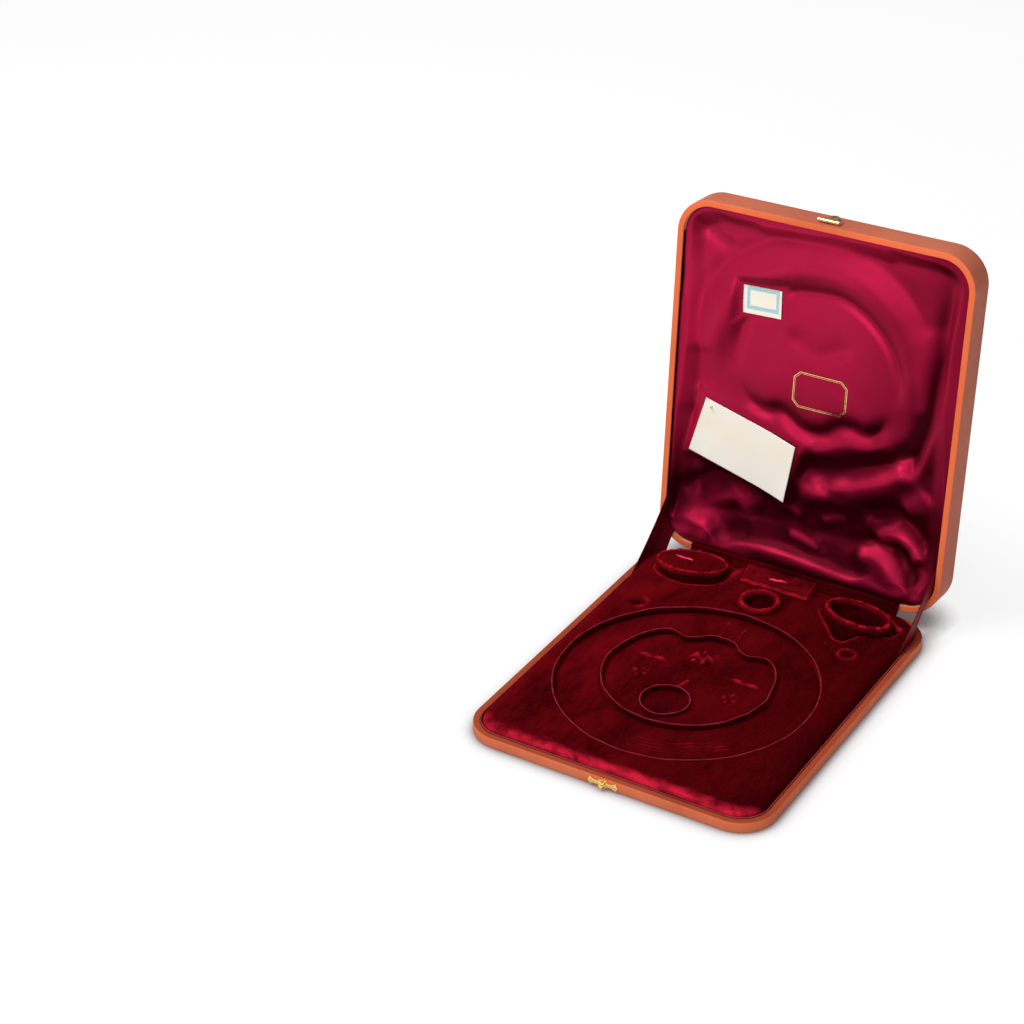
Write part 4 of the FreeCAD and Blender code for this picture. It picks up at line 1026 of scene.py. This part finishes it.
def floor_between(name, node, inner, outer, height, rows):
    """Velvet floor between two closed outlines of as many points, turned down all round, painted shade in
    hollows and by edges, painted highlight on rises.
    """
    foot = np.full(len(inner), tray_floor + floor_skirt)
    rings = [np.column_stack([inner, foot])]
    for share in np.linspace(0, 1, rows):
        xy = inner * (1 - share) + outer * share
        rings.append(np.column_stack([xy, height(*xy.T)]))
    rings.append(np.column_stack([outer, foot]))
    points = np.array(rings)
    relief = points[..., 2] - np.median(points[1:-1, :, 2])
    from_inner = np.linalg.norm(points[..., :2] - inner, axis=-1)
    from_outer = np.linalg.norm(points[..., :2] - outer, axis=-1)
    from_edge = np.minimum(from_inner, from_outer)
    deep = np.maximum(step(*floor_shade, relief), 0.6 * falling(from_edge, floor_edge_reach))
    velvet_piece(name, node, points, grid_faces(len(rings), len(inner), True), nap=0.35,
                 lit=0.75 * step(*floor_lit, relief), deep=0.85 * deep)


def necklace_height(x, y):
    """Height of the necklace bed, with the rings pressed into it and the marks of two straps."""
    far, spin = polar(x, y, (bed_x, bed_y))
    spin = np.degrees(spin)
    pressed = hump(spin - ring_front[0], ring_front[1])
    pressed += ring_back_share * hump(spin - ring_back[0], ring_back[1])
    pressed *= step(*ring_start, far) * step(*ring_end, far)
    z = necklace_floor + ripple("necklace", x, y)
    z += pressed * ring_rise * np.sin(2 * math.pi * far / ring_pitch + ripple("ring turn", x, y))
    for line in strap_lines:
        z += strap_rise * ridge(x, y, line, strap_reach)
        z -= strap_sink * ridge(x + strap_shift, y, line, strap_reach)
    return z


def brooch_height(x, y):
    """Height of the brooch bed, with its slits, bow puckers, rosette and the tab behind the well."""
    z = brooch_floor + ripple("brooch", x, y)
    for (ax, ay), (bx, by) in brooch_slits:
        reach = slit_reach_share * abs(bx - ax)
        for share in slit_shares:
            dx, dy = x - ax - share * (bx - ax), y - ay - share * (by - ay)
            z -= slit_sink * hump(dx, reach, 4) * hump(dy + slit_sink_drop, slit_sink_reach)
            z += slit_lip_rise * hump(dx, reach * slit_lip_share) * hump(dy - slit_lip_out, slit_lip_reach)
    for centre in bow_puckers:
        far, spin = polar(x, y, centre)
        z += bow_rise * np.cos(bow_gathers * spin + bow_turn) * hump(far - bow_radius, bow_reach)
        z -= bow_sink * hump(far, bow_sink_reach)
    far, spin = polar(x, y, rosette)
    petals = rosette_rise * np.cos(rosette_petals * spin + ripple("rosette turn", x, y))
    z += (petals + ripple("rosette", x, y)) * hump(far, rosette_radius, 4)
    return z + tab_rise * ridge(x, y, well_tab, tab_reach)


def velvet_bed():
    wave, wave_middle = wave_outline(), np.array([wave_x, wave_y])
    rim = wave * (wave_radius + fence_gap) + wave_middle
    ring = on_circle((bed_x, bed_y), outer_fence_radius - fence_thickness - fence_gap, rim)
    floor_between("necklace_velvet", "necklace_bed", rim, ring, necklace_height, necklace_rows)
    outer = wave * (wave_radius - fence_thickness - fence_gap) + wave_middle
    small = on_circle((well_x, well_y), well_radius + fence_gap, outer)
    floor_between("brooch_velvet", "brooch_bed", small, outer, brooch_height, brooch_rows)
    fence("outer_fence_velvet", "outer_fence", (bed_x, bed_y), round_unit(outer_fence_steps),
          outer_fence_radius, outer_fence_top, 41)
    fence("wavy_fence_velvet", "inner_fence", (wave_x, wave_y), wave, wave_radius, wave_top, 43)
    fence("well_fence_velvet", "well_fence", (well_x, well_y), round_unit(well_fence_steps), well_radius,
          well_top, 45)

    pad = well_radius - fence_thickness - fence_gap
    stations = [(pad, tray_floor + pad_skirt)]
    stations += [(pad * share, well_floor) for share in np.linspace(1, pad_last_share, pad_rows)]
    points = around((well_x, well_y), round_unit(pad_steps), stations)
    points[1:, :, 2] += ripple("well", points[1:, :, 0], points[1:, :, 1])
    faces = grid_faces(len(stations), pad_steps, True) + [ring_face(len(stations) - 1, pad_steps)]
    # Painted shade over the whole pad in the well
    velvet_piece("well_velvet", "well_pad", points, faces, deep=0.35)


# Back row
def oval_rings(side, stations):
    """Rings of a post's oval, drawn out by a growth, at (growth, height) stations."""
    unit = round_unit(post_steps)
    rings = []
    for growth, height in stations:
        x, y = turned((post_half_length + growth) * unit[:, 0], (post_half_width + growth) * unit[:, 1],
                      -side * post_turn)
        rings.append(np.column_stack([x + side * post_x, y + post_y, np.full(post_steps, height)]))
    return np.array(rings)


def post(name, node, side, stations, seed):
    """Oval velvet post with a gathered rim, a painted highlight along the rim and painted shade down its
    walls.
    """
    points = oval_rings(side, stations)
    x, y, z = points[..., 0], points[..., 1], points[..., 2]
    top = max(height for _, height in stations)
    _, spin = polar(x, y, (side * post_x, post_y))
    gathers = gather_rise * np.sin(gather_count * spin + ripple("post gathers", x, y, seed))
    z += (gathers + ripple("post crush", x, y, seed)) * hump(z - top, gather_reach)
    lit = step(top - post_lit_drop, top, z) * (0.65 + ripple("post lit", x, y, seed))
    lit *= step(*post_lit_band, oval_distance(x, y, side))
    rows, columns = points.shape[:2]
    faces = grid_faces(rows, columns, True) + [ring_face(0, columns), ring_face(rows - 1, columns)]
    velvet_piece(name, node, points, faces, nap=0.1, lit=np.clip(lit, 0, 1),
                 deep=0.8 * step(top - post_shade[0], top - post_shade[1], z))


def rolled(outer, inner, top, drop):
    """Stations over a rolled rim, from its outer side to its inner one."""
    middle, half = (outer + inner) / 2, (outer - inner) / 2
    return [(middle + half * math.cos(a), top - drop + drop * math.sin(a))
            for a in np.radians(np.linspace(0, 180, rim_steps))]


def posts():
    """The closed post at the left and the hollow one at the right, by stations of (growth, height)."""
    top, face = left_post_top, left_post_top - post_dip
    stations = [(growth, deck_top + rise) for growth, rise in left_foot]
    stations += [(left_neck[0], top - left_neck[1]), (0, top - post_roll)]
    stations += rolled(0, -left_rim, top, post_roll) + [(-left_rim - left_rim_dip, face)]
    stations += [(growth, face + left_face_lift) for growth in left_face]
    post("left_post_velvet", "bracelet_post_left", -1, stations, 51)
    top, face = right_post_top, right_post_top - hollow_depth
    stations = [(growth, recess_floor + rise) for growth, rise in right_foot]
    stations += [(right_neck[0], top - right_neck[1]), (0, top - post_roll)]
    stations += rolled(0, -post_wall, top, post_roll)
    stations += [(-post_wall - hollow_top_gap, top - hollow_top_drop), (-post_wall - hollow_foot_gap, face)]
    stations += [(growth, face) for growth in right_face]
    post("right_post_velvet", "bracelet_post_right", 1, stations, 55)


def silk_tab(name, height, seed):
    """Short end of pink silk that stands out of a slit."""
    middle_x, middle_y, length, width, turn = silk_ends[name]
    place = (middle_x, middle_y, height)
    along, across = np.meshgrid(np.linspace(-1, 1, silk_columns), np.linspace(-1, 1, silk_rows))
    waver = across * width / 2 * (1 - 0.5 * along ** 2) + silk_waver * np.sin(3 * along)
    x, y = turned(along * length / 2, waver, turn)
    z = silk_rise * (1 - across ** 2) * (1 - along ** 4) + ripple("silk", x, y, seed)
    top = np.stack([x, y, z], axis=-1) + place
    foot = np.stack([x, y, np.full(x.shape, -silk_sink)], axis=-1) + place
    seat(two_faced(name, top, foot, tab_silk), "base", [])


def velvet_block():
    """Slanted block with soft edges, a slit along its middle, a seam along its front, painted highlight on
    its top edges, painted shade on its sides.
    """
    along, across = np.meshgrid(np.linspace(-1, 1, block_columns), np.linspace(-1, 1, block_rows))
    soft = np.minimum((1 - np.abs(along)) * block_length / 2, (1 - np.abs(across)) * block_width / 2)
    x = block_x + along * block_length / 2
    y = block_y + across * block_width / 2
    z = block_middle + across * (block_back - block_front) / 2
    z -= block_edge_drop * np.clip(1 - soft / block_edge_width, 0, 1) ** 2
    z += ripple("block", x, y)
    z -= block_slit_sink * hump(x - block_x, block_slit_reach, 4) * hump(y - block_y, block_slit_width)
    z -= block_seam_sink * hump(across - block_seam_share, block_seam_width_share)
    x, y = x + ripple("block ends", z, along * block_wave_length), y + ripple("block sides", x, z)
    top = np.stack([x, y, z], axis=-1)
    foot = np.stack([x, y, np.full(x.shape, deck_top - block_sink)], axis=-1)
    lit = 0.8 * np.clip(1 - soft / block_lit_width, 0, 1)
    traits = {"nap": (0.15, 0.15), "lit": (lit, 0), "deep": (0, 0.85)}
    piece = two_faced("block_velvet", top, foot, velvet, traits)
    seat(piece, "base", ["centre_block"])


def velvet_roll():
    """Rolled ring with gathers along it, a painted highlight along its top and painted shade beneath."""
    section = np.linspace(0, 2 * math.pi, roll_rows, endpoint=False)
    spin = np.linspace(0, 2 * math.pi, roll_columns, endpoint=False)
    s, t = np.meshgrid(section, spin, indexing="ij")
    thick = roll_section * (1 + 0.07 * np.sin(19 * t + 2 * np.sin(3 * t)) + 0.06 * np.sin(7 * t + 1))
    reach = roll_radius + thick * np.cos(s)
    middle = deck_top + roll_section - roll_sink
    points = np.stack([roll_x + reach * np.cos(t), roll_y + reach * np.sin(t), middle + thick * np.sin(s)],
                      axis=-1)
    velvet_piece("roll_velvet", "ring_roll", points, grid_faces(roll_rows, roll_columns, True, True), nap=0.1,
                 lit=0.7 * np.clip(np.sin(s), 0, 1) ** 4 * (0.7 + 0.3 * np.sin(5 * t)),
                 deep=0.7 * step(0.2, -0.6, np.sin(s)))


# Satin lining
def satin_half_width(v):
    """Half the satin's width at a distance from the hinge edge."""
    radius = corner_radius - satin_inset
    from_end = np.minimum(v - satin_inset, case_depth - satin_inset - v)
    rise = np.clip(radius - from_end, 0, radius)
    return case_width / 2 - satin_inset - radius + np.sqrt(np.maximum(radius ** 2 - rise ** 2, 0))


def satin_edge_distance(x, v):
    """Distance in from the satin's edge."""
    radius = corner_radius - satin_inset
    qx = np.abs(x) - (case_width / 2 - satin_inset - radius)
    qv = np.abs(v - half_depth) - (half_depth - satin_inset - radius)
    outside = np.hypot(np.maximum(qx, 0), np.maximum(qv, 0))
    return radius - outside - np.minimum(np.maximum(qx, qv), 0)


def paper_cover(x, v, centre, length, width, turn):
    """1 under a paper, falling to 0 a little way out of it."""
    px, pv = turned(x - centre[0], v - centre[1], turn)
    return step(*paper_cover_fade, np.maximum(np.abs(px) - length / 2, np.abs(pv) - width / 2))


def blurred(field, reach):
    """Evens a field out over a reach given in cells."""
    taps = np.arange(-math.ceil(2.5 * reach), math.ceil(2.5 * reach) + 1)
    weights = np.exp(-0.5 * (taps / reach) ** 2)
    weights /= weights.sum()
    for axis in (0, 1):
        pad = [(0, 0), (0, 0)]
        pad[axis] = (len(taps) // 2, len(taps) // 2)
        wide = np.pad(field, pad, mode="edge")
        count = field.shape[axis]
        field = sum(w * np.take(wide, range(k, k + count), axis=axis) for k, w in enumerate(weights))
    return field


def along_lines(x, v, lines):
    """Sum of bands that follow lines, each with a height and its reach to the left and right."""
    total = np.zeros_like(x)
    for _, height, left, right, points in lines:
        signed, along = line_offset(x, v, smooth_run(points, 6))
        fade = step(0, line_fade_share, along) * step(1, 1 - line_fade_share, along)
        total += height * hump(signed, np.where(signed > 0, left, right)) * fade
    return total


def lid_cells():
    """Places of the cells, one millimetre apart, over the whole lid."""
    return np.meshgrid(np.arange(-case_width / 2, case_width / 2 + one_millimetre),
                       np.arange(0, case_depth + one_millimetre))


def fold_field():
    """Rise of the satin's folds on the lid's cells."""
    x, v = lid_cells()
    rise = along_lines(x, v, satin_folds)
    rise += step(*low_ripple_fade, v) * ripple("satin low", x, v) + ripple("satin", x, v)
    return blurred(rise, satin_blur)


def sampled(field, x, v):
    """Values of the field between its cells."""
    column = np.clip(x + case_width / 2, 0, field.shape[1] - 1.001)
    row = np.clip(v, 0, field.shape[0] - 1.001)
    c, r = column.astype(int), row.astype(int)
    a, b = column - c, row - r
    return ((1 - b) * ((1 - a) * field[r, c] + a * field[r, c + 1])
            + b * ((1 - a) * field[r + 1, c] + a * field[r + 1, c + 1]))


folds = fold_field()
papers = {"note": ((note_x, note_from_hinge), note_length, note_width, note_turn),
          "label": ((label_x, label_from_hinge), label_length, label_width, label_turn)}


def satin_depth(x, v):
    """Depth of the satin behind the lid's rim."""
    edge = satin_edge_distance(x, v)
    crest = satin_border_depth + ripple("satin border", x, v)
    for gx, gv, reach in border_gaps:
        crest = crest + border_gap_depth * hump(polar(x, v, (gx, gv))[0], reach)
    tucked = crest + satin_tuck * np.clip(1 - edge / satin_border_crest, 0, 1) ** 2
    border = satin_border_width * (1 + low_border_growth * step(*low_border_fade, v))
    sunk = step(satin_border_crest, border, edge)
    depth = tucked * (1 - sunk) + satin_face_depth * sunk
    depth = depth - sampled(folds, x, v) * step(*border_fold_fade, edge)
    for paper in papers.values():
        cover = paper_cover(x, v, *paper)
        depth = depth * (1 - cover) + (paper_depth + paper_sink) * cover
    least = satin_least + satin_post_room * step(*post_room_fade, v)
    return np.clip(depth, least, lining_depth - satin_back_gap)


def satin_shade(x, v):
    """How much painted shade the satin has: by place, by how far it leans up and to the left, and along
    strokes.
    """
    lean_up, lean_right = np.gradient(blurred(satin_depth(*lid_cells()), facing_blur))
    facing = np.clip(sampled(facing_up * lean_up - facing_right * lean_right, x, v), *facing_limits)
    low = step(*low_fade, v)
    calm = calm_share + middle_share * step(*middle_fade, v) + low_share * low
    calm += right_share * step(*right_fade, x) * (1 - low)
    shade = calm - (facing_share - facing_low_share * low) * facing + along_lines(x, v, satin_tones)
    return np.clip(shade, 0, deepest_share)


def squashed(piece):
    """Gives a soft lid piece a mesh of its own."""
    out = opened(np.array([[0, 0, 1.0], [0, 0, 0.0]]))
    anchor = opened(shut_point(np.array([0.0]), np.array([half_depth]), np.array([lining_depth])))[0]
    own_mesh(piece)


def satin_lining():
    ends = (satin_inset + satin_end_gap, case_depth - satin_inset - satin_end_gap)
    v = np.linspace(*ends, satin_rows)[:, None] * np.ones(satin_columns)
    x = np.linspace(-1, 1, satin_columns) * satin_half_width(v)
    face = opened(shut_point(x, v, satin_depth(x, v)))
    back = opened(shut_point(x, v, np.full(x.shape, lining_depth - satin_board_gap)))
    shade = satin_shade(x, v)
    piece = two_faced("satin_lining", face, back, satin, {"shade": (shade, shade)})
    seat(piece, "lid", ["satin_cushion"])
    squashed(piece)


# Papers and gilt frame
def sheet_of_paper(name, node, material, bend, skew=0.0, serrated=False):
    """Thin paper with a little curl, and where asked with teeth along three edges and a printed band."""
    centre, length, width, turn = papers[name]
    columns, rows = paper_steps[name]
    along, across = np.meshgrid(np.linspace(-1, 1, columns), np.linspace(-1, 1, rows))
    px, pv = along * length / 2, across * width / 2
    traits = None
    if serrated:
        from_sides = {"left": px + length / 2, "right": length / 2 - px, "foot": pv + width / 2,
                      "head": width / 2 - pv}
        start = np.min([from_sides[side] - near for side, (near, _) in label_margins.items()], axis=0)
        end = np.min([from_sides[side] - far for side, (_, far) in label_margins.items()], axis=0)
        printed = step(-label_blur, label_blur, start) * step(label_blur, -label_blur, end)
        traits = {"print": (printed, 0)}
        round_turn = 2 * math.pi / label_pitch
        sides, head = np.cos(round_turn * pv) - 1, np.cos(round_turn * px) - 1
        px = px + np.where(np.abs(along) == 1, np.sign(along) * label_tooth * sides, 0)
        pv = pv + np.where(across == 1, label_tooth * head, 0)
    px = px - skew * across * (0.5 + 0.5 * along)
    curl = bend * np.clip((along - curl_share) / (1 - curl_share), 0, 1) ** 2
    depth = np.minimum(paper_depth - curl - ripple("paper", px, pv), paper_depth)
    x, v = turned(px, pv, -turn)
    x, v = x + centre[0], v + centre[1]
    front, back = opened(shut_point(x, v, depth)), opened(shut_point(x, v, depth + paper_thickness))
    piece = two_faced(name, front, back, material, traits)
    seat(piece, "lid", [node])
    squashed(piece)


def gilt_frame():
    """Plain double rule in gold on the satin, a rectangle with cut corners."""
    rings = []
    for inset in np.ravel(frame_rules):
        a, b, c = frame_half_length - inset, frame_half_width - inset, frame_corner - inset / 2
        corners = [(a - c, -b), (a, c - b), (a, b - c), (a - c, b), (c - a, b), (-a, b - c), (-a, c - b),
                   (c - a, -b)]
        sides = zip(corners, corners[1:] + corners[:1])
        x, v = np.concatenate([np.linspace(p, q, frame_steps, endpoint=False) for p, q in sides]).T
        x, v = x + frame_x, v + frame_from_hinge
        nearby = [satin_depth(x + dx, v + dv) for dx in frame_search for dv in frame_search]
        rings.append(shut_point(x, v, np.min(nearby, axis=0) - frame_lift))
    points = opened(np.array(rings))
    steps = points.shape[1]
    rule = grid_faces(2, steps, True)
    piece = build("gilt_frame", points, rule + [tuple(2 * steps + i for i in face) for face in rule], gilding)
    seat(piece, "lid", [])
    squashed(piece)


# Ribbons and hinge cloth
def side_run(side, inset, from_back, columns):
    """Points along a side of the case and on round its back corner, evenly spaced."""
    radius = corner_radius - inset
    middle_x, middle_y = case_width / 2 - corner_radius, half_depth - corner_radius
    turns = np.radians(np.linspace(0, ribbon_corner_turn, ribbon_arc_steps))
    x = np.concatenate([[case_width / 2 - inset], middle_x + radius * np.cos(turns)])
    y = np.concatenate([[half_depth - from_back], middle_y + radius * np.sin(turns)])
    length = np.concatenate([[0], np.cumsum(np.hypot(np.diff(x), np.diff(y)))])
    even = np.linspace(0, length[-1], columns)
    return side * np.interp(even, length, x), np.interp(even, length, y)


def stay_ribbon(name, node, side):
    """Broad silk ribbon from its slot beside the deck to its slot beside the satin, slightly bowed."""
    columns = ribbon_columns
    x, y = side_run(side, ribbon_base_inset, ribbon_from_back, columns)
    foot = np.column_stack([x, y, np.full(columns, ribbon_base_z)])
    low = np.column_stack([x, y, np.full(columns, ribbon_over_lip)])
    x, y = side_run(side, ribbon_lid_inset, ribbon_from_hinge, columns)
    high = opened(np.column_stack([x, y, np.full(columns, rim_plane - ribbon_rim_gap)]))
    head = opened(np.column_stack([x, y, np.full(columns, rim_plane + ribbon_lid_depth)]))
    t, w = np.meshgrid(np.linspace(0, 1, ribbon_rows), np.linspace(0, 1, columns), indexing="ij")
    span = low + t[..., None] * (high - low)
    bow = np.sin(math.pi * t)
    flutter = ribbon_flutter * np.sin(5 * math.pi * w + 2 * t) * t
    span[..., 0] -= side * bow * (ribbon_bow * np.sin(math.pi * w) + flutter)
    span[..., 2] -= ribbon_sag * bow * (1 - w) ** 2
    front = np.concatenate([foot[None], span, head[None]])
    piece = two_faced(name, front, front - [side * ribbon_thickness, 0, 0], ribbon_silk)
    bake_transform(piece)
    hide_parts(node)
    length = float(np.linalg.norm(np.diff(front, axis=0), axis=-1).sum(axis=0).mean())


def hinge_cloth():
    """Strip of cloth glued along the back ledge and the lid's rim."""
    line = np.array(smooth_run(cloth_line))
    x = np.linspace(-cloth_half_length, cloth_half_length, cloth_columns)
    loose = np.sin(math.pi * np.linspace(0, 1, len(line)))[:, None]
    slack = loose * (cloth_slack + ripple("cloth", x, x * 0))
    front = np.stack([np.broadcast_to(x, slack.shape), line[:, :1] - slack, line[:, 1:] + slack], axis=-1)
    back = front + np.array([0, cloth_thickness, -cloth_thickness]) / 2
    # Painted shade over the whole strip, so that it reads as a dark gap
    piece = two_faced("hinge_velvet", front, back, velvet, {"deep": (0.35, 0.35)})
    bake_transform(piece)
    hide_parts("hinge_strip")
    width = float(np.linalg.norm(np.diff(line, axis=0), axis=1).sum())


base_leather()
lid_leather()
velvet_deck()
velvet_bed()
posts()
silk_tab("left_post_silk", left_post_top - post_dip + silk_lift, 61)
silk_tab("block_silk", block_middle - silk_lift, 62)
velvet_block()
velvet_roll()
satin_lining()
sheet_of_paper("note", "paper_note", note_paper, note_bend, skew=note_skew)
sheet_of_paper("label", "paper_label", label_paper, label_bend, serrated=True)
gilt_frame()
stay_ribbon("left_ribbon", "stay_left", -1)
stay_ribbon("right_ribbon", "stay_right", 1)
hinge_cloth()

# Finishes of the solids that stay
node_finish = {"base_board": beech, "lid_frame": beech, "lid_board": beech, "lining_board": card,
               "underside_lining": tan}
for name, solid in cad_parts.items():
    if solid.hide_render:
        continue
    finish = node_finish.get(name, brass)
    solid.data.materials.clear()
    solid.data.materials.append(finish)
    if finish is brass:
        bevel = solid.modifiers.new("edges", "BEVEL")
        bevel.width = brass_edge * MM
        bevel.segments = 2
        bevel.limit_method = "ANGLE"
        bevel.harden_normals = True

# Floor, in metres
half_floor = 4.0
contact_reach = 0.022
floor_mesh = bpy.data.meshes.new("floor")
floor_corners = [(-half_floor, -half_floor, 0), (half_floor, -half_floor, 0), (half_floor, half_floor, 0),
                 (-half_floor, half_floor, 0)]
floor_mesh.from_pydata(floor_corners, [], [(0, 1, 2, 3)])
floor = bpy.data.objects.new("floor", floor_mesh)
bpy.context.scene.collection.objects.link(floor)
pale = Shader("pale_floor", Base_Color=(0.18, 0.18, 0.182, 1), Roughness=0.35, Specular_IOR_Level=0.2,
              Emission_Strength=0.80)
# Painted contact shadow: the floor's glow is darkened where the case stands near
corner_shade = pale.node("ShaderNodeAmbientOcclusion", samples=8)
corner_shade.inputs["Distance"].default_value = contact_reach
closeness = pale.spread(corner_shade.outputs["AO"], 0.52, 0.96)
pale.put(pale.shader.inputs["Emission Color"], pale.mix(closeness, (0.12, 0.09, 0.10), (1, 1, 1)))
floor_mesh.materials.append(pale.material)

# Lights: place and goal in metres, size and power
softboxes = {
    "key": ((-0.75, -0.35, 1.85), (0, 0.05, 0.1), (1.0, 1.0), 40),
    "top": ((-0.2, 1.0, 2.1), (0, 0, 0), (2.4, 1.8), 8),
    "front": ((0.7, -2.1, 1.1), (0, 0, 0.1), (1.6, 1.0), 36),
}
for name, (place, goal, size, power) in softboxes.items():
    light = bpy.data.lights.new(name, "AREA")
    light.shape = "RECTANGLE"
    light.size, light.size_y = size
    light.energy = power
    lamp = bpy.data.objects.new(name, light)
    bpy.context.scene.collection.objects.link(lamp)
    lamp.location = place
    lamp.rotation_mode = "QUATERNION"
    lamp.rotation_quaternion = (Vector(goal) - Vector(place)).to_track_quat("-Z", "Y")

world = bpy.data.worlds.new("studio")
world.use_nodes = True
world.node_tree.nodes["Background"].inputs["Color"].default_value = (1, 1, 1, 1)
world.node_tree.nodes["Background"].inputs["Strength"].default_value = 0.25
bpy.context.scene.world = world
bpy.context.scene.view_settings.view_transform = "Standard"

# Camera
camera_data = bpy.data.cameras.new("camera")
camera_data.lens = lens
camera_data.sensor_width = sensor
camera = bpy.data.objects.new("camera", camera_data)
bpy.context.scene.collection.objects.link(camera)
right, up = Vector(camera_right), -Vector(camera_down)
turn = Matrix((right, up, right.cross(up))).transposed()
camera.matrix_world = Matrix.Translation(Vector(camera_place) * MM) @ turn.to_4x4()
bpy.context.scene.camera = camera
